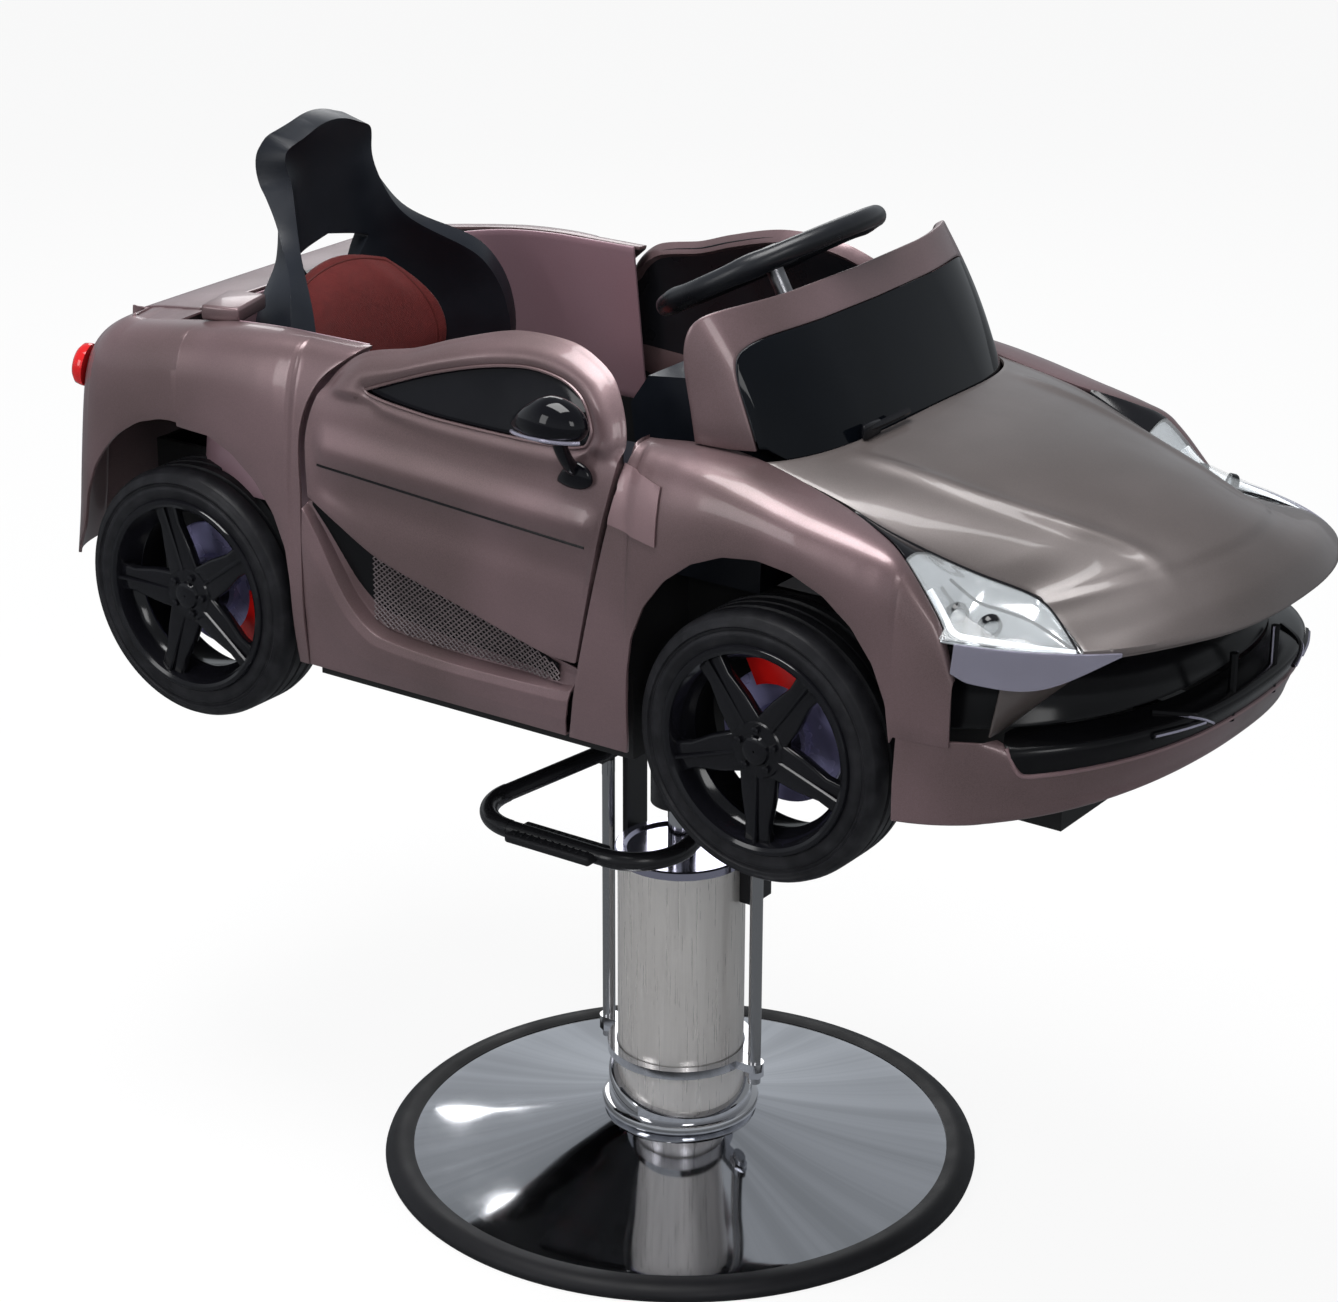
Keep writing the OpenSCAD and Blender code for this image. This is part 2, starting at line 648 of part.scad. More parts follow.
steer_y = yy(0.451);
steer_z = zz(1.257);
foot_rise = 6;
steer_foot_z = tie_z + foot_rise;
pin_down = 20;
shaft_r = 8;
shaft_l = (steer_z - steer_foot_z) / cos(steering_tilt);
crank_t = 6;
module on_shaft() {
    translate([0, steer_y, steer_z]) rotate([-steering_tilt, 0, 0]) children();
}
module steering_shaft() {
    color("silver") on_shaft() {
        translate([0, 0, -shaft_l]) cylinder(r = shaft_r, h = shaft_l - spoke_h / 2);
        translate([-shaft_r, -crank_r, -shaft_l]) cube([2 * shaft_r, crank_r, crank_t]);
        translate([0, -crank_r, -shaft_l - pin_down]) cylinder(r = tie_r / 2, h = pin_down + crank_t);
        translate([0, -crank_r, -shaft_l]) cylinder(r = shaft_r, h = crank_t);
    }
}

grip_r = grip_d / 2;
spoke_w = 26;
spoke_h = 7;
boss_r = 34;
boss_h = 16;
module steering_wheel() {
    color([0.08, 0.08, 0.08]) on_shaft() union() {
        rotate_extrude($fn = 96) translate([steering_d / 2 - grip_r, 0]) circle(r = grip_r, $fn = 24);
        translate([0, 0, -spoke_h / 2]) cylinder(r = boss_r, h = boss_h);
        for (a = [-90, 30, 150]) rotate([0, 0, a]) translate([0, -spoke_w / 2, -spoke_h / 2])
            cube([steering_d / 2 - grip_d + spoke_h, spoke_w, spoke_h]);
    }
}

// Wheels, drawn about the X axis with the outside towards +X

shoulder = 14;
groove = 4;
groove_w = 3;
tyre_wall = 16;
module tyre() {
    color([0.07, 0.07, 0.07]) rotate([0, 90, 0]) rotate_extrude($fn = 96) polygon([
        [rim_r, 0], [tyre_r - shoulder, 0], [tyre_r - shoulder / 4, shoulder / 3], [tyre_r, shoulder],
        [tyre_r, tyre_w / 2 - groove_w], [tyre_r - groove, tyre_w / 2 - groove_w / 2],
        [tyre_r - groove, tyre_w / 2 + groove_w / 2], [tyre_r, tyre_w / 2 + groove_w],
        [tyre_r, tyre_w - shoulder], [tyre_r - shoulder / 4, tyre_w - shoulder / 3],
        [tyre_r - shoulder, tyre_w], [rim_r, tyre_w]]);
}

barrel_t = 5;
rim_lip = 4;
disc_t = 14;
spoke_root = 30;
spoke_tip = 17;
hub_r = 24;
module rim() {
    color([0.05, 0.05, 0.06]) difference() {
        union() {
            rotate([0, 90, 0]) rotate_extrude($fn = 96) polygon([
                [rim_r, 0], [rim_r, tyre_w], [rim_r - rim_lip, tyre_w + rim_lip / 2],
                [rim_r - 2 * rim_lip, tyre_w], [rim_r - barrel_t - rim_lip, tyre_w - disc_t],
                [rim_r - barrel_t, tyre_w / 2], [rim_r - barrel_t, 0]]);
            rotate([0, 90, 0]) translate([0, 0, tyre_w - 2 * disc_t])
                cylinder(r = hub_r, h = 2 * disc_t - rim_lip);
            for (i = [0 : spokes - 1]) rotate([360 * i / spokes, 0, 0])
                translate([tyre_w - disc_t - rim_lip, 0, 0]) rotate([90, 0, 90])
                    linear_extrude(disc_t - rim_lip)
                        polygon([[-spoke_root / 2, 0], [spoke_root / 2, 0], [spoke_tip / 2, rim_r - barrel_t],
                            [-spoke_tip / 2, rim_r - barrel_t]]);
        }
        translate([-cut, 0, 0]) rotate([0, 90, 0]) cylinder(r = axle_r + run_gap, h = 2 * tyre_w);
    }
}

// A caliper hangs on the axle just inside the wheel and reaches into the rim
pad_in_r = 50;
pad_out_r = 80;
pad_angle = 26;
pad_steps = 8;
carrier_t = 4;
module caliper(turn) {
    color([0.75, 0.06, 0.05]) rotate([turn, 0, 0]) difference() {
        translate([-carrier_t - free_gap, 0, 0]) rotate([90, 0, 90]) {
            cylinder(r = sleeve_r, h = carrier_t);
            translate([-sleeve_r, 0, 0]) cube([2 * sleeve_r, pad_out_r - carrier_t, carrier_t]);
            linear_extrude(tyre_w / 2 + carrier_t) polygon(concat(
                [for (i = [0 : pad_steps]) pad_out_r * sector(i)],
                [for (i = [pad_steps : -1 : 0]) pad_in_r * sector(i)]));
        }
        translate([-2 * carrier_t, 0, 0]) rotate([0, 90, 0]) cylinder(r = axle_r, h = 3 * carrier_t);
    }
}
function sector(i) = let (a = 90 + pad_angle * (2 * i / pad_steps - 1)) [cos(a), sin(a)];

// Body panels, drawn on the car's left (+X) and mirrored for its right

// Plan curve of the nose, moved inwards by an inset
function plan_nose(a, z) = [nose_x(a), nose_y(a, z)];
function nose_at(a, z, inset) = let (p = plan_nose(a, z), q = plan_nose(a + 0.5, z) - plan_nose(a - 0.5, z))
    [p[0] - inset * q[1] / norm(q), p[1] + inset * q[0] / norm(q), z];

// The door's front edge leans; its hinge lies parallel to it
front_low_share = [0.4742, 0.2186];
front_top_share = [0.44, 0.868];
function door_front(z) = lerp(yy(front_low_share[0]), yy(front_top_share[0]),
    (z - zz(front_low_share[1])) / (zz(front_top_share[1]) - zz(front_low_share[1])));

// Places along the car, as shares of its length, with heights and half widths as shares
hood_x_shares = [[0.0767, 0.814], [0.113, 0.70], [0.135, 0.644], [0.18, 0.70], [0.239, 0.765], [0.28, 0.775],
    [0.372, 0.745]];
hood_z_shares = [[0.0767, 0.566], [0.113, 0.63], [0.135, 0.646], [0.18, 0.695], [0.239, 0.775], [0.28, 0.833],
    [0.372, 0.907]];
fender_x_shares = [[0.159, 0.945], [0.18, 0.92], [0.209, 0.89], [0.23, 0.85], [0.28, 0.781], [0.372, 0.75],
    [0.4425, 0.81]];
fender_z_shares = [[0.159, 0.463], [0.17, 0.576], [0.18, 0.633], [0.209, 0.749], [0.23, 0.785], [0.28, 0.833],
    [0.372, 0.907], [0.4425, 0.907]];
function along(y) = y / car_l + 0.53;
function hood_edge(y) = [xx(curve(hood_x_shares, along(y))), y, zz(curve(hood_z_shares, along(y)))];
function fender_edge(y) = [xx(curve(fender_x_shares, along(y))), y, zz(curve(fender_z_shares, along(y)))];

section_n = 3.2;
arch_steps = 12;
bumper_top = zz(0.273);
fender_front = yy(0.159);
foot_step = 3;
sill_tuck = 7;
function tuck(z) = sill_tuck * pow(max(1 - (z - ride_z) / (body_h / 4), 0), 2);

// Stations over a wheel arch: [y, lower edge]
function arch_stations(axle_y, dir) = [for (i = [0 : arch_steps]) let (a = 180 * i / arch_steps)
    [axle_y + dir * arch_r * cos(a), arch_z + arch_r * sin(a)]];
front_stations = concat([[yy(0.44), ride_z], [front_axle_y + arch_r + foot_step, ride_z]],
    arch_stations(front_axle_y, 1),
    [for (i = [0 : 3]) [lerp(front_axle_y - arch_r - foot_step, fender_front, i / 3), bumper_top + seam]]);
function at_station(tab, u, k) = let (t = u * (len(tab) - 1), i = min(floor(t), len(tab) - 2))
    lerp(tab[i][k], tab[i + 1][k], t - i);
function front_fender_f(u, v) = let (
    y0 = at_station(front_stations, u, 0), zl = at_station(front_stations, u, 1),
    e = fender_edge(y0), z = lerp(zl, e[2], power(sin(90 * v), section_n)),
    fade = max(1 - u * (len(front_stations) - 1), 0), y = lerp(y0, door_front(z), fade),
    xs = nose_half(y) - tuck(z))
    [lerp(e[0], xs, power(cos(90 * v), section_n)), y, z];

module front_fenders() {
    color([0.48, 0.4, 0.4]) both()
        skin(function (u, v) front_fender_f(u, v), len(front_stations) - 1, 7, skin_t, 1);
}

hood_tip = 52;
hood_n = 16;
hood_m = 12;
screen_x = xx(0.8);
screen_n = 3;
screen_low_mid = yy(0.3035);
screen_top_mid = yy(0.372);
screen_low_deep = car_l * 0.108;
screen_top_deep = car_l * 0.067;
function screen_y(x, mid, deep) =
    mid + deep * (1 - pow(1 - pow(min(abs(x) / screen_x, 1), screen_n), 1 / screen_n));
cowl_x = xx(0.742);
function cowl_at(a) = screen_y(a * cowl_x, screen_low_mid, screen_low_deep) - 2 * seam;
crown_shares = [[0, 0.545], [0.05, 0.64], [0.12, 0.715], [0.3, 0.80], [0.6, 0.875], [1, 0.925]];
function hood_f(u, v0) = let (
    a = 2 * u - 1, v = pow(v0, 1.3), tip = nose_at(hood_tip, zz(lip_share), 0),
    front = nose_at(hood_tip * a, zz(lip_share), 0),
    y = lerp(front[1], cowl_at(a), v), e = hood_edge(lerp(tip[1], cowl_at(1), v)),
    x = lerp(front[0] / tip[0], a, min(v * 6, 1)) * (e[0] - 3 * seam))
    [x, y, lerp(zz(curve(crown_shares, v)), v0 == 0 ? zz(crown_shares[0][1]) : e[2], a * a)];
module hood() {
    color([0.47, 0.4, 0.39]) skin(function (u, v) hood_f(u, v), hood_n, hood_m, skin_t, -1);
}

bumper_end = 84;
bumper_depth_shares = [[0, 0.7], [0.14, 0.08], [0.3, 0], [0.6, 0], [0.82, 0.1], [1, 1]];
bumper_rise_shares = [[0, 0.02], [0.14, 0], [0.3, 0.2], [0.6, 0.62], [0.82, 0.92], [1, 1]];
bumper_depth = 37;
bumper_chin = 0.023;
function bumper_low(a) = lerp(zz(bumper_chin), zz(chin_share), pow(cos(a), 1.5));
function bumper_high(a) = bumper_top + (zz(chin_share) - ride_z) * 0.45 * cos(a);
function bumper_f(u, v) = let (a = bumper_end * (2 * u - 1))
    nose_at(a, lerp(bumper_low(a), bumper_high(a), curve(bumper_rise_shares, v)),
        bumper_depth * curve(bumper_depth_shares, v));
module front_bumper() {
    color([0.48, 0.4, 0.4]) skin(function (u, v) bumper_f(u, v), 24, 8, skin_t, -1);
}

louvres = 3;
louvre_depth = 9;
grille_end = 80;
grille_depth = 30;
grille_n = 4 * louvres;
function grille_f(u, v) = let (a = grille_end * (2 * u - 1), k = v * louvres, s = k - floor(k),
    inset = grille_depth * pow(cos(a), 0.4) + skin_t + louvre_depth * (s < 0.5 ? 2 * s : 2 - 2 * s))
    nose_at(a, lerp(bumper_high(a) + skin_t * 0.6, zz(crown_shares[0][1]) - 2 * seam, v), inset);
module front_grille() {
    color([0.05, 0.05, 0.06]) skin(function (u, v) grille_f(u, v), 16, grille_n, skin_t, -1);
}

lamp_back = yy(0.265);
lamp_tip = yy(0.0775);
lamp_bulge = 5;
lamp_depth = 16;
trim_z = zz(0.576);
function lamp_low(y) = y > yy(0.17) ? fender_edge(y) : [nose_half(y), y, trim_z + seam];
function lamp_f(u, v) = let (y = lerp(lamp_back, lamp_tip, u), p = lamp_low(y) + 2.5 * [-seam, 0, seam],
    q = hood_edge(y) + [1.5 * seam, 0, 0], s = lamp_bulge * sin(180 * v) * sin(180 * u))
    lerp(p, q, v) + [s, 0, s];
module headlights() {
    color([0.85, 0.87, 0.9]) both()
        skin(function (u, v) lamp_f(u, v), 16, 5,
            function (u, v) skin_t / 2 + lamp_depth * sin(180 * u) * sin(180 * v), 1);
}

trim_from = 75;
trim_to = 53;
trim_h_shares = [[0, 0.9], [0.2, 1], [0.6, 1], [1, 0.16]];
trim_h = 33;
function trim_f(u, v) = let (a = lerp(trim_from, trim_to, u), h = trim_h * curve(trim_h_shares, u))
    nose_at(a, trim_z - h * (1 - v), -skin_t / 4);
module headlight_trims() {
    color([0.7, 0.68, 0.76]) both() skin(function (u, v) trim_f(u, v), 10, 3, skin_t, 1);
}

// Rear of the body
tail_start = yy(0.863);
tail_n = 6;
tail_shares = [[0.14, 0.158], [0.26, 0.151], [0.43, 0.146], [0.6, 0.1417], [0.73, 0.139], [0.93, 0.134]];
function tail_len(z) = car_l * curve(tail_shares, (z - ride_z) / body_h);
function tail_x(b) = side_x * power(sin(b), tail_n);
function tail_y(b, z) = tail_start + tail_len(z) * power(cos(b), tail_n);
function tail_angle(y) = acos(pow(min(max((y - tail_start) / tail_len(zz(0.3)), 0), 1), tail_n / 2));
function tail_at(b, z, inset) = b >= 90 ? [side_x - inset, tail_start, z] : let (
    p = [tail_x(b), tail_y(b, z)],
    q = [tail_x(b + 0.5) - tail_x(b - 0.5), tail_y(b + 0.5, z) - tail_y(b - 0.5, z)])
    [p[0] + inset * q[1] / norm(q), p[1] - inset * q[0] / norm(q), z];
ridge_shares = [[0.695, 1.003], [0.74, 1], [0.78, 1], [0.83, 0.987], [0.886, 0.958], [0.94, 0.93]];
rear_cut_shares = [[0, 0.738], [0.53, 0.738], [0.749, 0.74], [0.9, 0.725], [1.003, 0.695]];
function rear_cut(z) = yy(curve(rear_cut_shares, (z - ride_z) / body_h));
function ridge_z(y) = zz(curve(ridge_shares, along(y)));
ridge_in = 52;
tail_low = zz(0.14);
corner_end = 20;
rear_stations = concat(
    [[rear_axle_y - arch_r - 2 * foot_step, ride_z, 90], [rear_axle_y - arch_r - foot_step, ride_z, 90]],
    [for (s = arch_stations(rear_axle_y, -1)) [s[0], s[1], tail_angle(s[0])]],
    [for (i = [1 : 4]) [0, tail_low, lerp(tail_angle(rear_axle_y + arch_r), corner_end, i / 4)]]);
tail_round = 12;
function rear_fender_f(u, v) = let (
    y0 = at_station(rear_stations, u, 0), zl = at_station(rear_stations, u, 1), b = at_station(rear_stations, u, 2),
    zu = ridge_z(b < 90 ? tail_y(b, zz(0.5)) : y0), rise = power(sin(90 * v), section_n), z = lerp(zl, zu, rise),
    round_in = 1 - power(cos(90 * v), section_n), share = (b - corner_end) / (90 - corner_end),
    inset = ridge_in * lerp(pow(rise, tail_round), round_in, share) + tuck(z),
    fade = max(1 - u * (len(rear_stations) - 1), 0), y1 = lerp(y0, rear_cut(z) + door_gap / 2, fade))
    b < 90 ? tail_at(b, z, inset) : [side_x - inset, y1, z];
module rear_fenders() {
    color([0.48, 0.4, 0.4]) both()
        skin(function (u, v) rear_fender_f(u, v), len(rear_stations) - 1, 7, skin_t, -1);
}

deck_x_shares = [[0, 0.672], [0.25, 0.6735], [0.33, 0.681], [0.42, 0.688], [0.5, 0.691], [1, 0.692]];
deck_y_shares = [[0, 0.9], [0.25, 0.956], [0.33, 0.97], [0.42, 0.9875], [0.5, 0.995], [0.6, 1.003], [0.7, 1.007],
    [0.85, 1.0115], [1, 1.0235]];
deck_z_shares = [[0, 0.958], [0.25, 0.93], [0.33, 0.903], [0.42, 0.852], [0.5, 0.79], [0.6, 0.7], [0.7, 0.6],
    [0.85, 0.43], [1, 0.14]];
deck_bow = 5;
function deck_f(u, v) = let (a = 2 * u - 1)
    [a * xx(curve(deck_x_shares, v)), yy(curve(deck_y_shares, v)) - deck_bow * a * a * v,
        zz(curve(deck_z_shares, v))];
module rear_deck() {
    color([0.48, 0.4, 0.4]) skin(function (u, v) deck_f(u, v), 10, 10, skin_t, -1);
}

tail_lamp_r = 21;
tail_lamp_z = zz(0.745);
tail_lamp_b = 35;
tail_lamp_turn = 19;
tail_lamp_lean = 9;
tail_lamp_h = 12;
tail_lamp_in = 2.6;
module tail_lights() {
    color([0.8, 0.05, 0.05]) both()
        translate(tail_at(tail_lamp_b, tail_lamp_z, tail_lamp_in))
            rotate([tail_lamp_lean - 90, 0, -tail_lamp_turn])
            rotate_extrude() polygon([[0, 0], [tail_lamp_r, 0], [tail_lamp_r, tail_lamp_h / 2],
                [tail_lamp_r * 0.8, tail_lamp_h * 0.85], [tail_lamp_r / 2, tail_lamp_h], [0, tail_lamp_h]]);
}

// Sills under the doors, with a scoop sunk behind each door's lower edge
door_low_shares = [[0.474, 0.219], [0.505, 0.238], [0.665, 0.40], [0.705, 0.478], [0.735, 0.545]];
scoop_lip_shares = [[0.474, 0.17], [0.505, 0.141], [0.663, 0.155], [0.695, 0.24], [0.725, 0.43], [0.738, 0.51]];
scoop_in_shares = [[0.474, 0], [0.5, 0.5], [0.54, 1], [0.7, 1], [0.738, 0.6]];
scoop_in = 15;
sill_knots = 7;
function door_low(y) = zz(curve(door_low_shares, along(y)));
function scoop_lip(y) = zz(curve(scoop_lip_shares, along(y)));
function sill_profile(y) = let (top = door_low(y) - door_gap, lip = min(scoop_lip(y), top - 2 * skin_t),
    in = scoop_in * curve(scoop_in_shares, along(y)), x = side_x - seam)
    [[wide_x + free_gap, ride_z], [x - sill_tuck, ride_z], [x - sill_tuck / 4, lerp(ride_z, lip, 0.4)],
        [x, lerp(ride_z, lip, 0.8)], [x - skin_t / 2, lip], [x - in - skin_t / 2, lip + skin_t],
        [x - in - skin_t, lerp(lip + skin_t, top, 0.6)], [x - in - skin_t, top]];
sill_front = door_front(ride_z) + door_gap;
sill_back = rear_cut(ride_z) + door_gap / 2 - 2 * seam;
function sill_f(u, v) = let (y0 = lerp(sill_front, sill_back, u), p = sill_profile(y0),
    t = v * sill_knots, i = min(floor(t), sill_knots - 1), q = lerp(p[i], p[i + 1], t - i),
    fade = max(1 - 14 * u, 0), y = lerp(y0, door_front(q[1]) + door_gap, fade))
    [q[0], y, q[1]];
module side_sills() {
    color([0.48, 0.4, 0.4]) both() skin(function (u, v) sill_f(u, v), 14, sill_knots, skin_t / 2, -1);
}

grid_t = 1.6;
grid_from = yy(0.512);
grid_to = yy(0.66);
function scoop_f(u, v) = let (y = lerp(grid_from, grid_to, u), p = sill_profile(y),
    q = lerp(p[5], p[7], lerp(0.08, 0.95, v)))
    [q[0] + free_gap + grid_t, y, q[1]];
module scoop_grilles() {
    color([0.3, 0.28, 0.29]) both() skin(function (u, v) scoop_f(u, v), 6, 2, grid_t, -1);
}

// Doors: a ring of skin round the window, and the black insert in it
door_x_shares = [[0.14, 0.012], [0.35, 0.008], [0.62, 0.01], [0.8, 0.03], [0.9, 0.055], [1, 0.09], [1.14, 0.165]];
function side_at(y, z) = side_x * (1 - curve(door_x_shares, (z - ride_z) / body_h));
door_rim_shares = [[0.694, 0.997], [0.646, 1.042], [0.612, 1.087], [0.556, 1.142], [0.502, 1.136], [0.466, 1.074],
    [0.449, 0.985], [0, 0.905], [0, 0.656], [0, 0.4], [0, 0.24], [0.505, 0.245], [0.584, 0.322], [0.666, 0.408],
    [0.705, 0.486], [0.734, 0.55], [0.736, 0.752], [0.722, 0.9]];
window_rim_shares = [[0.68, 0.907], [0.655, 0.945], [0.617, 0.997], [0.572, 1.042], [0.5325, 1.061], [0.5, 1.045],
    [0.48, 1.003], [0.469, 0.93], [0.4717, 0.887], [0.484, 0.875], [0.5, 0.871], [0.53, 0.868], [0.572, 0.868],
    [0.613, 0.871], [0.638, 0.878], [0.655, 0.884], [0.667, 0.89], [0.676, 0.897]];
rim_points = len(door_rim_shares);
function rim_at(tab, u) = let (t = (u - floor(u)) * rim_points, i = floor(t) % rim_points)
    lerp(tab[i], tab[(i + 1) % rim_points], t - floor(t));
door_rim = [for (p = door_rim_shares) let (z = zz(p[1])) p[0] == 0 ? [door_front(z) + door_gap, z]
    : [yy(p[0]) - door_gap / 2, z]];
window_rim = [for (p = window_rim_shares) [yy(p[0]), zz(p[1])]];
function door_f(u, v) = let (p = lerp(rim_at(window_rim, u), rim_at(door_rim, u), v))
    [side_at(p[0], p[1]), p[0], p[1]];
hinge_heights = [zz(0.3), zz(0.43)];
hinge_h = 16;
hinge_in = 10;
notch_l = 16;
pin_r = pin_d / 2;
sleeve_wall = 3;
bracket_h = 5;
hinge_tilt = atan2(door_front(zz(0)) - door_front(zz(1)), body_h);
function hinge_y(z) = door_front(z) + door_gap + pin_r + sleeve_wall;
module on_hinge(z) {
    translate([side_x - hinge_in, hinge_y(z), z]) rotate([hinge_tilt, 0, 0]) children();
}
module door() {
    color([0.5, 0.41, 0.42]) difference() {
        union() {
            ring_skin(function (u, v) door_f(u, v), 36, 5, door_t, 1);
            for (z = hinge_heights) on_hinge(z) cylinder(r = pin_r + sleeve_wall, h = hinge_h);
        }
        for (z = hinge_heights) on_hinge(z) {
            translate([0, 0, -2 * cut]) cylinder(r = pin_r + run_gap, h = hinge_h + 3 * cut);
            notch = notch_l + pin_r + free_gap;
            translate([-notch_l, -notch_l, -bracket_h - 2 * free_gap])
                cube([notch, notch, bracket_h + 2 * free_gap - run_gap]);
        }
    }
}
module door_left() {
    on_side(1) door();
}
module door_right() {
    on_side(-1) door();
}

// Each hinge is a bracket on the tub with a pin through the door's sleeve
module door_hinges() {
    color([0.2, 0.2, 0.21]) both() for (z = hinge_heights) on_hinge(z) {
        translate([0, 0, -bracket_h - free_gap]) cylinder(r = pin_r, h = hinge_h + 2 * free_gap + bracket_h);
        translate([wide_x - side_x + hinge_in, -pin_r, -bracket_h - free_gap])
            cube([side_x - hinge_in - wide_x, 2 * pin_r, bracket_h]);
    }
}

insert_t = 2.5;
insert_in = 0.5;
module window() {
    mid = [yy(0.56), zz(0.95)];
    color([0.04, 0.04, 0.05]) plate_skin(
        function (u) let (p = lerp(rim_at(window_rim, u), mid, 0.055))
            [side_at(p[0], p[1]) - insert_in, p[0], p[1]],
        [side_at(mid[0], mid[1]) - insert_in, mid[0], mid[1]], 36, [-insert_t, 0, 0]);
}
module window_left() {
    on_side(1) window();
}
module window_right() {
    on_side(-1) window();
}

pod_r = 26;
pod_w = 32;
pod_out = 28;
pod_x = side_x + pod_out;
pod_y = yy(0.478);
pod_z = zz(0.99);
stalk_r = 8;
stalk_y = yy(0.472);
stalk_z = zz(0.81);
foot_x = side_at(stalk_y, stalk_z - stalk_r) + free_gap;
module mirror_pod() {
    color([0.04, 0.04, 0.05]) difference() {
        union() {
            hull() for (s = [-1, 1]) translate([pod_x + s * pod_w / 2, pod_y, pod_z])
                sphere(r = pod_r, $fn = 16);
            translate([foot_x, stalk_y, stalk_z]) rotate([0, 90, 0]) cylinder(r = stalk_r, h = stalk_r);
            rod_between([foot_x + stalk_r, stalk_y, stalk_z], [pod_x, pod_y, pod_z], stalk_r * 0.9);
        }
        translate([pod_x - pod_w - pod_r, pod_y + pod_r / 2, pod_z - 2 * pod_r])
            cube([4 * pod_w, pod_r, 4 * pod_r]);
    }
}
module mirror_left() {
    on_side(1) mirror_pod();
}
module mirror_right() {
    on_side(-1) mirror_pod();
}

// Cabin

liner_x = side_x - ridge_in - 2 * seam;
liner_front = yy(0.702);
liner_len = yy(0.9) - liner_front - seam;
liner_n = 6;
liner_lean = wide_x - floor_t / 3 - liner_x;
tub_top = tub_z + tub_h;
function over_arch(x, y) = arch_z + sqrt(max(pow(arch_r + skin_t, 2) - pow(y - rear_axle_y, 2), 0)) * min(max(
    (abs(x) - spine_x) / (wheel_in - spine_x), 0), 1);
function liner_f(u, v) = let (a = 180 * u - 90, x = liner_x * power(sin(a), liner_n),
    y = liner_front + liner_len * power(cos(a), liner_n), low = max(tub_top + free_gap, over_arch(x, y)),
    k = (1 - v) * liner_lean)
    [x * (1 + k / liner_x), y, lerp(low, ridge_z(y) - seam, v)];
module cabin_liner() {
    color([0.46, 0.38, 0.38]) skin(function (u, v) liner_f(u, v), 26, 4, skin_t, 1);
}

screen_wrap = 88;
screen_foot_z = zz(0.88);
screen_post_z = zz(0.907) + 4 * seam;
screen_top_z = zz(1.295);
foot_from = 0.6;
foot_to = 0.7;
function screen_at(a, b) = let (x = screen_x * power(sin(screen_wrap * a), screen_n),
    foot = lerp(screen_foot_z, screen_post_z, min(max((abs(a) - foot_from) / (foot_to - foot_from), 0), 1)))
    [x, lerp(screen_y(x, screen_low_mid, screen_low_deep), screen_y(x, screen_top_mid, screen_top_deep), b)
        - 2 * pane_t * sin(180 * min(max(b, 0), 1)), lerp(foot, screen_top_z, b)];
frame_n = 5;
frame_a = 0.75;
frame_b = 0.8;
pane_share = 0.994;
pane_from = 12;
function pane_f(u, v) = let (t = lerp(180 - pane_from, pane_from, u))
    screen_at(pane_share * frame_a * power(cos(t), frame_n),
        lerp(0.02, pane_share * frame_b * power(sin(t), frame_n), v));
module windshield_glass() {
    color([0.05, 0.05, 0.06]) skin(function (u, v) pane_f(u, v), 20, 5, pane_t, -1);
}
frame_t = 9;
function frame_f(u, v) = let (t = 180 * u, pa = lerp(frame_a, 1, v), pb = lerp(frame_b, 1, v))
    screen_at(pa * power(cos(t), frame_n), lerp(0, pb, power(sin(t), frame_n)));
module windshield_frame() {
    color([0.48, 0.4, 0.4]) skin(function (u, v) frame_f(u, v), 32, 2, frame_t, 1);
}

dash_shares = [[0.362, 0.463], [0.359, 0.80], [0.378, 0.93], [0.43, 1.055], [0.462, 1.04], [0.478, 0.95],
    [0.47, 0.72], [0.452, 0.463]];
dash_x = xx(0.66);
module dashboard() {
    color([0.09, 0.09, 0.1]) difference() {
        translate([-dash_x, 0, 0]) rotate([90, 0, 90]) linear_extrude(2 * dash_x)
            polygon([for (p = dash_shares) [yy(p[0]), max(zz(p[1]), tub_top)]]);
        on_shaft() translate([0, 0, -shaft_l]) cylinder(r = shaft_r + free_gap, h = 2 * shaft_l);
    }
}

// The seat: a bucket shell swept up its own middle line
seat_y_shares = [[0, 0.62], [0.22, 0.74], [0.38, 0.845], [0.48, 0.868], [0.62, 0.876], [0.78, 0.889], [0.88, 0.889],
    [1, 0.88]];
seat_z_shares = [[0, 0.385], [0.22, 0.33], [0.38, 0.375], [0.48, 0.52], [0.62, 0.78], [0.78, 1.09], [0.88, 1.3],
    [1, 1.452]];
seat_w_shares = [[0, 0.55], [0.22, 0.57], [0.38, 0.58], [0.55, 0.58], [0.68, 0.5], [0.78, 0.31], [0.86, 0.24],
    [0.93, 0.25], [0.97, 0.225], [1, 0.13]];
seat_bolster_shares = [[0, 0.045], [0.22, 0.114], [0.38, 0.235], [0.55, 0.348], [0.68, 0.318], [0.78, 0.129],
    [0.88, 0.03], [0.95, 0], [1, 0]];
seat_wall_shares = [[0, 1], [0.6, 1], [0.8, 2.4], [0.9, 4.2], [1, 3]];
roll_shares = [[0, 1], [0.5, 1], [0.68, 2.2], [0.84, 4.2], [1, 2.6]];
roll_run_shares = [[0, 0], [0.48, 0], [0.58, 1], [0.64, 1], [0.76, 0], [1, 0]];
function seat_wall(u, v) = shell_t * curve(seat_wall_shares, v)
    * lerp(1, curve(roll_shares, abs(2 * u - 1)), curve(roll_run_shares, v));
function seat_mid(v) = [yy(curve(seat_y_shares, v)), zz(curve(seat_z_shares, v))];
function seat_dir(v) = unit(seat_mid(min(v + 0.01, 1)) - seat_mid(max(v - 0.01, 0)));
function seat_bolster(v) = xx(curve(seat_bolster_shares, v));
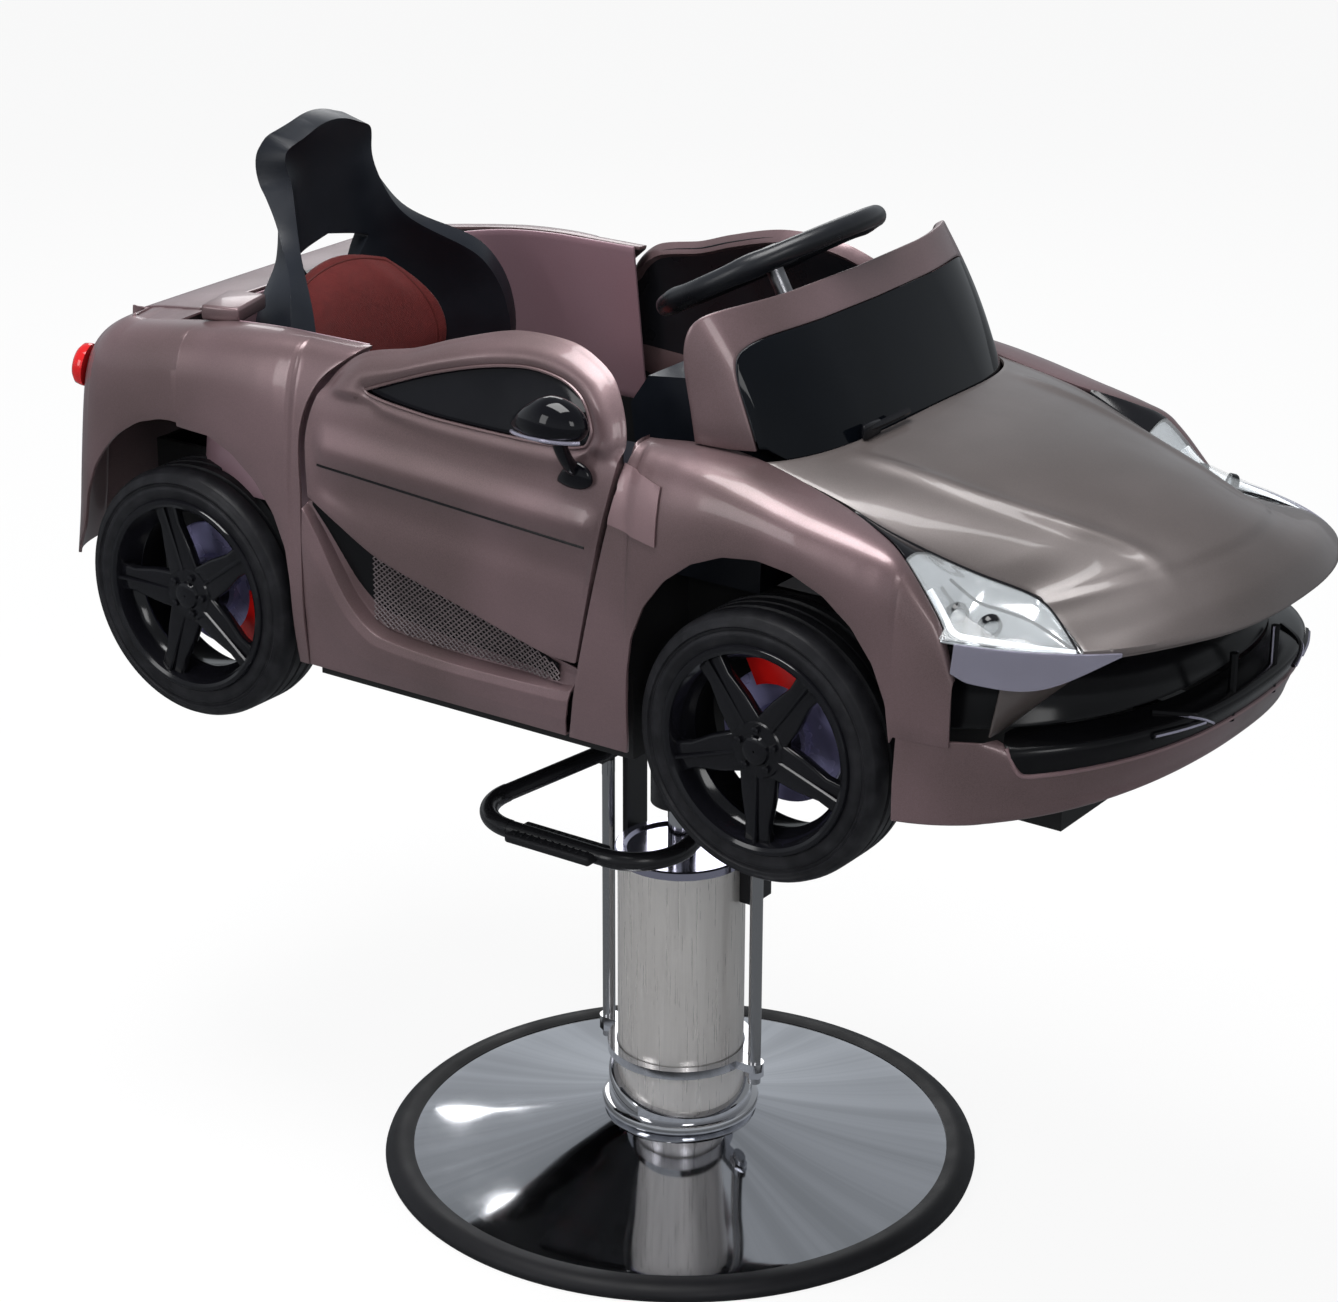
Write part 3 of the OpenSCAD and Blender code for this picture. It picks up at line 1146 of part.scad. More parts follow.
function seat_f(a, v, lift) = let (m = seat_mid(v), d = seat_dir(v), s = seat_bolster(v) * pow(abs(a), 4) + lift)
    [a * xx(curve(seat_w_shares, v)), m[0] - s * d[1], m[1] + s * d[0]];
stand_x = 70;
stand_y = 205;
stand_l = 90;
hole_w = 112;
hole_low_w = 76;
hole_h = 34;
hole_z = zz(1.078);
module seat_shell() {
    color([0.08, 0.08, 0.09]) difference() {
        union() {
            skin(function (u, v) seat_f(2 * u - 1, v, 0), 16, 24, function (u, v) seat_wall(u, v), -1);
            translate([-stand_x, stand_y, tub_z + floor_t])
                cube([2 * stand_x, stand_l, zz(0.33) - shell_t / 3 - tub_z - floor_t]);
        }
        translate([0, yy(0.8), hole_z]) rotate([-90, 0, 0]) linear_extrude(yy(0.95) - yy(0.8))
            polygon([[-hole_w / 2, hole_h / 3], [0, 0], [hole_w / 2, hole_h / 3], [hole_low_w / 2, hole_h],
                    [-hole_low_w / 2, hole_h]]);
    }
}

function pillow(a, b, t) = t * (1 - 0.85 * pow(abs(a), 4)) * (1 - 0.85 * pow(abs(b), 4));
pad_share = 0.72;
pad_lift = 1.7;
function back_pad_f(u, v) = let (a = 2 * u - 1, b = 2 * v - 1, w = lerp(0.44, 0.735, v))
    seat_f(a * pad_share * (1 - 0.12 * b * b), w, pad_lift);
module seat_back_pad() {
    color([0.45, 0.13, 0.11]) skin(function (u, v) back_pad_f(u, v), 14, 10,
        function (u, v) pillow(2 * u - 1, 2 * v - 1, back_pad_t), 1);
}
function base_pad_f(u, v) = let (a = 2 * u - 1, b = 2 * v - 1, w = lerp(0.02, 0.33, v))
    seat_f(a * pad_share * (1 - 0.08 * b * b), w, pad_lift);
module seat_base_pad() {
    color([0.45, 0.13, 0.11]) skin(function (u, v) base_pad_f(u, v), 14, 10,
        function (u, v) pillow(2 * u - 1, 2 * v - 1, seat_pad_t), 1);
}

// Wheels and calipers in their places
module wheel_place(side, y) {
    on_side(side) translate([wheel_in, y, axle_z]) children();
}
module tyre_front_left() {
    wheel_place(1, front_axle_y) tyre();
}
module tyre_front_right() {
    wheel_place(-1, front_axle_y) tyre();
}
module tyre_rear_left() {
    wheel_place(1, rear_axle_y) tyre();
}
module tyre_rear_right() {
    wheel_place(-1, rear_axle_y) tyre();
}
module rim_front_left() {
    wheel_place(1, front_axle_y) rim();
}
module rim_front_right() {
    wheel_place(-1, front_axle_y) rim();
}
module rim_rear_left() {
    wheel_place(1, rear_axle_y) rim();
}
module rim_rear_right() {
    wheel_place(-1, rear_axle_y) rim();
}
module front_caliper_left() {
    wheel_place(1, front_axle_y) caliper(0);
}
module front_caliper_right() {
    wheel_place(-1, front_axle_y) caliper(0);
}
rear_caliper_turn = 110;
module rear_calipers() {
    both() wheel_place(1, rear_axle_y) caliper(rear_caliper_turn);
}

base_weight();
base_cover();
base_rim();
column_collar();
column_sleeve();
pump_cylinder();
cylinder_head();
lever_bracket();
pump_lever();
lever_pad();
push_rods();
pump_crosshead();
piston_rod();
swivel_hub();
mounting_frame();
plate_bolts();
chassis_tub();
front_axle();
rear_axle();
rear_calipers();
knuckle_left();
knuckle_right();
front_caliper_left();
front_caliper_right();
tie_rod();
steering_shaft();
steering_wheel();
tyre_front_left();
tyre_front_right();
tyre_rear_left();
tyre_rear_right();
rim_front_left();
rim_front_right();
rim_rear_left();
rim_rear_right();
front_fenders();
hood();
front_bumper();
front_grille();
headlights();
headlight_trims();
rear_fenders();
rear_deck();
tail_lights();
side_sills();
scoop_grilles();
cabin_liner();
windshield_frame();
windshield_glass();
dashboard();
seat_shell();
seat_back_pad();
seat_base_pad();
door_hinges();
door_left();
door_right();
window_left();
window_right();
mirror_left();
mirror_right();
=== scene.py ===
import bpy
import bmesh
from math import acos, atan2, copysign, cos, degrees, exp, hypot, pi, radians, sin, sqrt
from mathutils import Matrix, Vector


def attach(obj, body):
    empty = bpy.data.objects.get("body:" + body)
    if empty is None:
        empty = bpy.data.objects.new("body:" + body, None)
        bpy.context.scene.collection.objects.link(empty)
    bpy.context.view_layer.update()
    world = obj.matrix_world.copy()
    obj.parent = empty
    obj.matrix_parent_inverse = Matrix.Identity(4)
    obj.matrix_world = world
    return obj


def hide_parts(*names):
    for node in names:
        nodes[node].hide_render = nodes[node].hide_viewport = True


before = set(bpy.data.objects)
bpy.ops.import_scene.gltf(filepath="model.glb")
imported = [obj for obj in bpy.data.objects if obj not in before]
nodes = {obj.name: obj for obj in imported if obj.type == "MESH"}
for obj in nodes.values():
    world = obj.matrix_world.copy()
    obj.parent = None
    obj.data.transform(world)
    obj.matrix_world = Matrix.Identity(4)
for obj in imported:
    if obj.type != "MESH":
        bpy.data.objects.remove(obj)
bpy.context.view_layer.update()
MM = 0.001


# The car's own measures, in millimetres, as in the part's source

CAR_L, SIDE_X, RIDE_Z, BODY_H = 1200, 264, 556, 311
SKIN, SEAM, DOOR_GAP = 4, 0.6, 4.5
AXLE_Z, REAR_AXLE, WHEELBASE = 594, 401, 657
FRONT_AXLE = REAR_AXLE - WHEELBASE
ARCH_R, ARCH_Z = 135, 635
TYRE_W = 74
WHEEL_IN = SIDE_X - TYRE_W
WIDE_X = 236.28
TUB_TOP = 699.06
STEER_Y, STEER_Z, STEER_TILT = -94.8, 946.927, 28.8


def yy(share):
    return CAR_L * (share - 0.53)


def xx(share):
    return share * SIDE_X


def zz(share):
    return RIDE_Z + share * BODY_H


def along(y):
    return y / CAR_L + 0.53


def up(z):
    return (z - RIDE_Z) / BODY_H


def lerp(a, b, t):
    if isinstance(a, (tuple, list)):
        return tuple(p + (q - p) * t for p, q in zip(a, b))
    return a + (b - a) * t


def steps(low, high, n):
    """n + 1 even values from low to high."""
    return [lerp(low, high, i / n) for i in range(n + 1)]


def clamp(t, low=0.0, high=1.0):
    return min(max(t, low), high)


def ease(t):
    t = clamp(t)
    return t * t * (3 - 2 * t)


def bump(t, middle, width):
    return exp(-((t - middle) / width) ** 2)


def curve(table, t):
    """A smooth curve through the points (place, value) of a table."""
    t = clamp(t, table[0][0], table[-1][0])
    i = 0
    while i < len(table) - 2 and t >= table[i + 1][0]:
        i += 1

    def slope(k):
        a, b = max(k - 1, 0), min(k + 1, len(table) - 1)
        return (table[b][1] - table[a][1]) / (table[b][0] - table[a][0])
    h = table[i + 1][0] - table[i][0]
    s = (t - table[i][0]) / h
    m0, m1 = slope(i) * h, slope(i + 1) * h
    return ((2 * s ** 3 - 3 * s ** 2 + 1) * table[i][1] + (s ** 3 - 2 * s ** 2 + s) * m0
            + (3 * s ** 2 - 2 * s ** 3) * table[i + 1][1] + (s ** 3 - s ** 2) * m1)


def power(c, n):
    return copysign(abs(c) ** (2 / n), c)


def dsin(a):
    return sin(radians(a))


def dcos(a):
    return cos(radians(a))


# The nose in plan, the hood, the fenders and the tail

NOSE_START, NOSE_N = yy(0.23), 2.4


def nose_len(z):
    t = clamp((z - zz(0.14)) / (zz(0.57) - zz(0.14)))
    return NOSE_START - lerp(yy(0.04), yy(0), t)


def plan_nose(a, z):
    return SIDE_X * power(dsin(a), NOSE_N), NOSE_START - nose_len(z) * power(dcos(a), NOSE_N)


def nose_half(y):
    if y > NOSE_START:
        return SIDE_X
    t = min((NOSE_START - y) / nose_len(zz(0.5)), 1)
    return SIDE_X * max(1 - t ** NOSE_N, 0) ** (1 / NOSE_N)


def nose_at(a, z, inset):
    p, q0, q1 = plan_nose(a, z), plan_nose(a - 0.5, z), plan_nose(a + 0.5, z)
    q = (q1[0] - q0[0], q1[1] - q0[1])
    n = hypot(*q)
    return p[0] - inset * q[1] / n, p[1] + inset * q[0] / n, z


def door_front(z):
    return lerp(yy(0.4742), yy(0.44), (z - zz(0.2186)) / (zz(0.868) - zz(0.2186)))


HOOD_X = [(0.0767, 0.814), (0.113, 0.70), (0.135, 0.644), (0.18, 0.70), (0.239, 0.765), (0.28, 0.775),
          (0.372, 0.745)]
HOOD_Z = [(0.0767, 0.566), (0.113, 0.63), (0.135, 0.646), (0.18, 0.695), (0.239, 0.775), (0.28, 0.833),
          (0.372, 0.907)]
FENDER_X = [(0.159, 0.945), (0.18, 0.92), (0.209, 0.89), (0.23, 0.85), (0.28, 0.781), (0.372, 0.75),
            (0.4425, 0.81)]
FENDER_Z = [(0.159, 0.463), (0.17, 0.576), (0.18, 0.633), (0.209, 0.749), (0.23, 0.785), (0.28, 0.833),
            (0.372, 0.907), (0.4425, 0.907)]
SECTION = 3.2
BUMPER_TOP, FENDER_FRONT = zz(0.273), yy(0.159)


def hood_edge(y):
    return xx(curve(HOOD_X, along(y))), y, zz(curve(HOOD_Z, along(y)))


def fender_edge(y):
    return xx(curve(FENDER_X, along(y))), y, zz(curve(FENDER_Z, along(y)))


def tuck(z):
    return 7 * max(1 - (z - RIDE_Z) / (BODY_H / 4), 0) ** 2


def arch_line(axle, way):
    return [(axle + way * ARCH_R * dcos(a), ARCH_Z + ARCH_R * dsin(a)) for a in range(0, 181, 15)]


FRONT_STATIONS = ([(yy(0.44), RIDE_Z), (FRONT_AXLE + ARCH_R + 3, RIDE_Z)] + arch_line(FRONT_AXLE, 1)
                  + [(y, BUMPER_TOP + SEAM) for y in steps(FRONT_AXLE - ARCH_R - 3, FENDER_FRONT, 3)])


def station(table, u, k):
    t = u * (len(table) - 1)
    i = min(int(t), len(table) - 2)
    return lerp(table[i][k], table[i + 1][k], t - i)


def front_fender(u, v):
    y0, low = station(FRONT_STATIONS, u, 0), station(FRONT_STATIONS, u, 1)
    edge = fender_edge(y0)
    z = lerp(low, edge[2], power(dsin(90 * v), SECTION))
    y = lerp(y0, door_front(z), max(1 - u * (len(FRONT_STATIONS) - 1), 0))
    side = nose_half(y) - tuck(z)
    return lerp(edge[0], side, power(dcos(90 * v), SECTION)), y, z


CROWN = [(0, 0.545), (0.05, 0.64), (0.12, 0.715), (0.3, 0.80), (0.6, 0.875), (1, 0.925)]
HOOD_TIP, HOOD_FOLD = 52, 0.13
SCREEN_X, LOW_MID, TOP_MID, LOW_DEEP, TOP_DEEP = xx(0.8), yy(0.3035), yy(0.372), 129.6, 80.4


def screen_y(x, mid, deep):
    return mid + deep * (1 - (1 - min(abs(x) / SCREEN_X, 1) ** 3) ** (1 / 3))


def cowl_at(a):
    return screen_y(a * xx(0.742), LOW_MID, LOW_DEEP) - 2 * SEAM


def hood(u, v0):
    a, v = 2 * u - 1, v0 ** 1.3
    tip, front = nose_at(HOOD_TIP, zz(0.57), 0), nose_at(HOOD_TIP * a, zz(0.57), 0)
    y = lerp(front[1], cowl_at(a), v)
    edge = hood_edge(lerp(tip[1], cowl_at(1), v))
    x = lerp(front[0] / tip[0], a, min(v * 6, 1)) * (edge[0] - 3 * SEAM)
    z = lerp(zz(curve(CROWN, v)), zz(0.545) if v0 == 0 else edge[2], a * a)
    lip = 12 * (1 - ease(v * 9)) * ease(1.6 - abs(a) * 1.2)
    crease = 3.5 * bump(abs(a), lerp(0.5, 0.72, v), 0.045) * ease(v * 3 - 0.1) * ease((1 - v) * 6)
    fold = 3 * ease((v - HOOD_FOLD - 0.05 * a * a) / 0.025)
    return x, y, z + crease + lip + fold - 3 * ease(v * 4)


BUMPER_DEPTH = [(0, 0.7), (0.14, 0.08), (0.3, 0), (0.6, 0), (0.82, 0.1), (1, 1)]
BUMPER_RISE = [(0, 0.02), (0.14, 0), (0.3, 0.2), (0.6, 0.62), (0.82, 0.92), (1, 1)]


def bumper_low(a):
    return lerp(zz(0.023), zz(0.14), dcos(a) ** 1.5)


def bumper_high(a):
    return BUMPER_TOP + (zz(0.14) - RIDE_Z) * 0.45 * dcos(a)


def bumper(u, v):
    a = 84 * (2 * u - 1)
    inset = lerp(curve(BUMPER_DEPTH, v), 0.7 * max(1 - v * 7, 0), ease((abs(a) - 60) / 8))
    return nose_at(a, lerp(bumper_low(a), bumper_high(a), curve(BUMPER_RISE, v)), 37 * inset)


def intake(u, v):
    a = 80 * (2 * u - 1)
    inset = 30 * dcos(a) ** 0.4 + SKIN + 5 + 14 * sin(pi * v)
    return nose_at(a, lerp(bumper_high(a) + SKIN * 0.6, zz(0.545) - 2 * SEAM, v), inset)


LAMP_BACK, LAMP_TIP, TRIM_Z = yy(0.265), yy(0.0775), zz(0.576)


def lamp_low(y):
    return fender_edge(y) if y > yy(0.17) else (nose_half(y), y, TRIM_Z + SEAM)


def lamp(u, v, sunk=0.0):
    y = lerp(LAMP_BACK, LAMP_TIP, u)
    p, q = lamp_low(y), hood_edge(y)
    p = (p[0] - 2.5 * SEAM, p[1], p[2] + 2.5 * SEAM)
    q = (q[0] + 1.5 * SEAM, q[1], q[2])
    s = 5 * dsin(180 * v) * dsin(180 * u) - sunk
    x, y, z = lerp(p, q, v)
    return x + s, y, z + s


def trim(u, v):
    h = 33 * curve([(0, 0.8), (0.12, 1), (0.55, 1), (1, 0.1)], u)
    return nose_at(lerp(75.5, 44, u), TRIM_Z - h * (1 - v), -SKIN / 4)


TAIL_START, TAIL_N = yy(0.863), 6
TAIL = [(0.14, 0.158), (0.26, 0.151), (0.43, 0.146), (0.6, 0.1417), (0.73, 0.139), (0.93, 0.134)]
RIDGE = [(0.695, 1.003), (0.74, 1), (0.78, 1), (0.83, 0.987), (0.886, 0.958), (0.94, 0.93)]
REAR_CUT = [(0, 0.738), (0.53, 0.738), (0.749, 0.74), (0.9, 0.725), (1.003, 0.695)]
RIDGE_IN, TAIL_LOW, CORNER_END = 52, zz(0.14), 20


def tail_len(z):
    return CAR_L * curve(TAIL, up(z))


def tail_plan(b, z):
    return SIDE_X * power(dsin(b), TAIL_N), TAIL_START + tail_len(z) * power(dcos(b), TAIL_N)


def tail_angle(y):
    return degrees(acos(clamp((y - TAIL_START) / tail_len(zz(0.3))) ** (TAIL_N / 2)))


def tail_at(b, z, inset):
    if b >= 90:
        return SIDE_X - inset, TAIL_START, z
    p, q0, q1 = tail_plan(b, z), tail_plan(b - 0.5, z), tail_plan(b + 0.5, z)
    q = (q1[0] - q0[0], q1[1] - q0[1])
    n = hypot(*q)
    return p[0] + inset * q[1] / n, p[1] - inset * q[0] / n, z


def rear_cut(z):
    return yy(curve(REAR_CUT, up(z)))


def ridge_z(y):
    return zz(curve(RIDGE, along(y)))


REAR_STATIONS = ([(REAR_AXLE - ARCH_R - 6, RIDE_Z, 90), (REAR_AXLE - ARCH_R - 3, RIDE_Z, 90)]
                 + [(y, z, tail_angle(y)) for y, z in arch_line(REAR_AXLE, -1)]
                 + [(0, TAIL_LOW, b) for b in steps(tail_angle(REAR_AXLE + ARCH_R), CORNER_END, 4)[1:]])


def rear_fender(u, v):
    y0, low, b = (station(REAR_STATIONS, u, k) for k in range(3))
    top = ridge_z(tail_plan(b, zz(0.5))[1] if b < 90 else y0)
    rise = power(dsin(90 * v), SECTION)
    z = lerp(low, top, rise)
    corner = (b - CORNER_END) / (90 - CORNER_END)
    inset = RIDGE_IN * lerp(rise ** 12, 1 - power(dcos(90 * v), SECTION), corner) + tuck(z)
    y = lerp(y0, rear_cut(z) + DOOR_GAP / 2, max(1 - u * (len(REAR_STATIONS) - 1), 0))
    return tail_at(b, z, inset) if b < 90 else (SIDE_X - inset, y, z)


DECK_X = [(0, 0.672), (0.25, 0.6735), (0.33, 0.681), (0.42, 0.688), (0.5, 0.691), (1, 0.692)]
DECK_Y = [(0, 0.9), (0.25, 0.956), (0.33, 0.97), (0.42, 0.9875), (0.5, 0.995), (0.6, 1.003), (0.7, 1.007),
          (0.85, 1.0115), (1, 1.0235)]
DECK_Z = [(0, 0.958), (0.25, 0.93), (0.33, 0.903), (0.42, 0.852), (0.5, 0.79), (0.6, 0.7), (0.7, 0.6),
          (0.85, 0.43), (1, 0.14)]


def deck(u, v):
    a = 2 * u - 1
    x, y, z = a * xx(curve(DECK_X, v)), yy(curve(DECK_Y, v)) - 5 * a * a * v, zz(curve(DECK_Z, v))
    plate = ease((0.3 - abs(a)) / 0.06) * ease((v - 0.62) / 0.04) * ease((0.86 - v) / 0.04)
    return x, y - 5 * plate, z


# Doors, sills, cabin and windscreen

DOOR_X = [(0.14, 0.012), (0.35, 0.008), (0.62, 0.01), (0.8, 0.03), (0.9, 0.055), (1, 0.09), (1.14, 0.165)]
DOOR_RIM = [(0.694, 0.997), (0.646, 1.042), (0.612, 1.087), (0.556, 1.142), (0.502, 1.136), (0.466, 1.074),
            (0.449, 0.985), (0, 0.905), (0, 0.656), (0, 0.4), (0, 0.24), (0.505, 0.245), (0.584, 0.322),
            (0.666, 0.408), (0.705, 0.486), (0.734, 0.55), (0.736, 0.752), (0.722, 0.9)]
WINDOW_RIM = [(0.68, 0.907), (0.655, 0.945), (0.617, 0.997), (0.572, 1.042), (0.5325, 1.061), (0.5, 1.045),
              (0.48, 1.003), (0.469, 0.93), (0.4717, 0.887), (0.484, 0.875), (0.5, 0.871), (0.53, 0.868),
              (0.572, 0.868), (0.613, 0.871), (0.638, 0.878), (0.655, 0.884), (0.667, 0.89), (0.676, 0.897)]


def side_at(y, z):
    return SIDE_X * (1 - curve(DOOR_X, up(z)))


door_rim = []
for share, rise in DOOR_RIM:
    z = zz(rise)
    door_rim.append((door_front(z) + DOOR_GAP, z) if share == 0 else (yy(share) - DOOR_GAP / 2, z))
window_rim = [(yy(share), zz(rise)) for share, rise in WINDOW_RIM]


GROOVE = [(0.43, 0.592), (0.5, 0.606), (0.6, 0.628), (0.72, 0.655)]


def groove_z(y):
    return zz(curve(GROOVE, along(y)))


def door_relief(y, z):
    """How far the door's side swells out: a shoulder above the groove, a waist below it."""
    ends = ease((y - yy(0.45)) / 25) * ease((yy(0.73) - y) / 20)
    shoulder = 4.5 * bump(z, groove_z(y) + 17, 15)
    waist = -3 * bump(z, groove_z(y) - 22, 20)
    sill_roll = 2.5 * bump(z, zz(0.25), 14)
    return ends * (shoulder + waist) + sill_roll


def around(ring, u):
    """A smooth closed curve through a ring of points, with its sharp corners kept."""
    n = len(ring)
    t = (u % 1) * n
    i = int(t) % n
    s = t - int(t)
    p = [ring[(i + k) % n] for k in (-1, 0, 1, 2)]

    def tangent(a, b, c):
        d0, d1 = (b[0] - a[0], b[1] - a[1]), (c[0] - b[0], c[1] - b[1])
        l0, l1 = hypot(*d0), hypot(*d1)
        if (d0[0] * d1[0] + d0[1] * d1[1]) < 0.62 * l0 * l1:
            return None
        k = min(l0, l1)
        return tuple((d0[j] / l0 + d1[j] / l1) / 2 * k for j in (0, 1))
    chord = (p[2][0] - p[1][0], p[2][1] - p[1][1])
    m0 = tangent(p[0], p[1], p[2]) or chord
    m1 = tangent(p[1], p[2], p[3]) or chord
    h = (2 * s ** 3 - 3 * s ** 2 + 1, s ** 3 - 2 * s ** 2 + s, 3 * s ** 2 - 2 * s ** 3, s ** 3 - s ** 2)
    return tuple(h[0] * p[1][j] + h[1] * m0[j] + h[2] * p[2][j] + h[3] * m1[j] for j in (0, 1))


DOOR_LOW = [(0.474, 0.219), (0.505, 0.238), (0.665, 0.40), (0.705, 0.478), (0.735, 0.545)]
SCOOP_LIP = [(0.474, 0.17), (0.505, 0.141), (0.663, 0.155), (0.695, 0.24), (0.725, 0.43), (0.738, 0.51)]
SCOOP_IN = [(0.474, 0), (0.5, 0.5), (0.54, 1), (0.7, 1), (0.738, 0.6)]


def sill_profile(y):
    top = zz(curve(DOOR_LOW, along(y))) - DOOR_GAP
    lip = min(zz(curve(SCOOP_LIP, along(y))), top - 2 * SKIN)
    sunk = 15 * curve(SCOOP_IN, along(y))
    x = SIDE_X - SEAM
    return [(WIDE_X + 0.3, RIDE_Z), (x - 7, RIDE_Z), (x - 1.75, lerp(RIDE_Z, lip, 0.4)),
            (x, lerp(RIDE_Z, lip, 0.8)), (x - SKIN / 2, lip), (x - sunk - SKIN / 2, lip + SKIN),
            (x - sunk - SKIN, lerp(lip + SKIN, top, 0.6)), (x - sunk - SKIN, top)]


SILL_FRONT, SILL_BACK = door_front(RIDE_Z) + DOOR_GAP, rear_cut(RIDE_Z) + DOOR_GAP / 2 - 2 * SEAM


def sill(u, v):
    y0 = lerp(SILL_FRONT, SILL_BACK, u)
    p = sill_profile(y0)
    t = v * 7
    i = min(int(t), 6)
    x, z = lerp(p[i], p[i + 1], t - i)
    return x, lerp(y0, door_front(z) + DOOR_GAP, max(1 - 14 * u, 0)), z


LINER_X = SIDE_X - RIDGE_IN - 2 * SEAM
LINER_FRONT = yy(0.702)
LINER_LEN = yy(0.9) - LINER_FRONT - SEAM


def liner(u, v):
    a = 180 * u - 90
    x, y = LINER_X * power(dsin(a), 6), LINER_FRONT + LINER_LEN * power(dcos(a), 6)
    k = (1 - v) * (WIDE_X - 2 - LINER_X)
    return x * (1 + k / LINER_X), y, lerp(TUB_TOP + 0.3, ridge_z(y) - SEAM, v)


def screen_at(a, b):
    x = SCREEN_X * power(dsin(88 * a), 3)
    foot = lerp(zz(0.88), zz(0.907) + 4 * SEAM, clamp((abs(a) - 0.6) / 0.1))
    y = lerp(screen_y(x, LOW_MID, LOW_DEEP), screen_y(x, TOP_MID, TOP_DEEP), b)
    return x, y - 6 * dsin(180 * clamp(b)), lerp(foot, zz(1.295), b)


def pane(u, v):
    t = lerp(168, 12, u)
    return screen_at(0.994 * 0.75 * power(dcos(t), 5), lerp(0.02, 0.994 * 0.8 * power(dsin(t), 5), v))


def pane_frame(u, v):
    t = 180 * u
    return screen_at(lerp(0.75, 1, v) * power(dcos(t), 5), lerp(0.8, 1, v) * power(dsin(t), 5))


SEAT_Y = [(0, 0.62), (0.22, 0.74), (0.38, 0.845), (0.48, 0.868), (0.62, 0.876), (0.78, 0.889), (0.88, 0.889),
          (1, 0.88)]
SEAT_Z = [(0, 0.385), (0.22, 0.33), (0.38, 0.375), (0.48, 0.52), (0.62, 0.78), (0.78, 1.09), (0.88, 1.3),
          (1, 1.452)]
SEAT_W = [(0, 0.55), (0.22, 0.57), (0.38, 0.58), (0.55, 0.58), (0.68, 0.5), (0.78, 0.31), (0.86, 0.24),
          (0.93, 0.25), (0.97, 0.225), (1, 0.13)]
BOLSTER = [(0, 0.045), (0.22, 0.114), (0.38, 0.235), (0.55, 0.348), (0.68, 0.318), (0.78, 0.129),
           (0.88, 0.03), (0.95, 0), (1, 0)]
SEAT_WALL = [(0, 1), (0.6, 1), (0.8, 2.4), (0.9, 4.2), (1, 3)]
ROLL = [(0, 1), (0.5, 1), (0.68, 2.2), (0.84, 4.2), (1, 2.6)]
ROLL_RUN = [(0, 0), (0.48, 0), (0.58, 1), (0.64, 1), (0.76, 0), (1, 0)]


def seat_mid(v):
    return yy(curve(SEAT_Y, v)), zz(curve(SEAT_Z, v))


def seat_dir(v):
    p, q = seat_mid(max(v - 0.01, 0)), seat_mid(min(v + 0.01, 1))
    n = hypot(q[0] - p[0], q[1] - p[1])
    return (q[0] - p[0]) / n, (q[1] - p[1]) / n


def seat(a, v, lift=0.0):
    m, d = seat_mid(v), seat_dir(v)
    s = xx(curve(BOLSTER, v)) * abs(a) ** 4 + lift
    return a * xx(curve(SEAT_W, v)), m[0] - s * d[1], m[1] + s * d[0]


def seat_wall(a, v):
    return 9 * curve(SEAT_WALL, v) * lerp(1, curve(ROLL, abs(a)), curve(ROLL_RUN, v))


def across(surface, u, v, e=0.004):
    """The surface's own direction at (u, v), a unit vector."""
    along_u = Vector(surface(min(u + e, 1), v)) - Vector(surface(max(u - e, 0), v))
    along_v = Vector(surface(u, min(v + e, 1))) - Vector(surface(u, max(v - e, 0)))
    return along_u.cross(along_v).normalized()


def seat_front(u, v):
    return seat(2 * u - 1, v)


def seat_back(u, v):
    return Vector(seat_front(u, v)) - seat_wall(2 * u - 1, v) * across(seat_front, u, v)


# Making pieces

def fresh():
    """Nothing is selected and object mode is on, ready for the next primitive."""
    if bpy.context.object and bpy.context.object.mode != "OBJECT":
        bpy.ops.object.mode_set(mode="OBJECT")
    bpy.ops.object.select_all(action="DESELECT")


def only(piece):
    fresh()
    piece.select_set(True)
    bpy.context.view_layer.objects.active = piece


def modifier(piece, kind, **settings):
    m = piece.modifiers.new(kind.title(), kind)
    for key, value in settings.items():
        setattr(m, key, value)
    only(piece)
    bpy.ops.object.modifier_apply(modifier=m.name)


def mesh_edit(piece, *actions):
    work = bmesh.new()
    work.from_mesh(piece.data)
    for action in actions:
        action(work)
    work.to_mesh(piece.data)
    work.free()
    piece.data.update()


def weld(b):
    bmesh.ops.remove_doubles(b, verts=b.verts, dist=1e-6)


def face_out(b):
    bmesh.ops.recalc_face_normals(b, faces=b.faces)


def turn_over(b):
    bmesh.ops.reverse_faces(b, faces=b.faces)


def bridge(b):
    bmesh.ops.bridge_loops(b, edges=[e for e in b.edges if e.is_boundary])


def outward(piece):
    mesh_edit(piece, weld, face_out)


def soften(piece, angle=35):
    only(piece)
    bpy.ops.object.shade_smooth_by_angle(angle=radians(angle))


def mirrored(piece):
    """The piece gains its own mirror image across the car's middle."""
    def action(b):
        twin = bmesh.ops.duplicate(b, geom=b.verts[:] + b.edges[:] + b.faces[:])["geom"]
        bmesh.ops.scale(b, vec=(-1, 1, 1), verts=[g for g in twin if isinstance(g, bmesh.types.BMVert)])
        bmesh.ops.reverse_faces(b, faces=[g for g in twin if isinstance(g, bmesh.types.BMFace)])
    mesh_edit(piece, action)


def finish_piece(piece, name, material, body, replaced=(), angle=35):
    piece.name = name
    piece.data.name = name
    if angle:
        soften(piece, angle)
    only(piece)
    bpy.ops.object.transform_apply(location=True, rotation=True, scale=True)
    piece.data.materials.clear()
    piece.data.materials.append(material)
    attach(piece, body)
    if replaced:
        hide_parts(*replaced)
    return piece


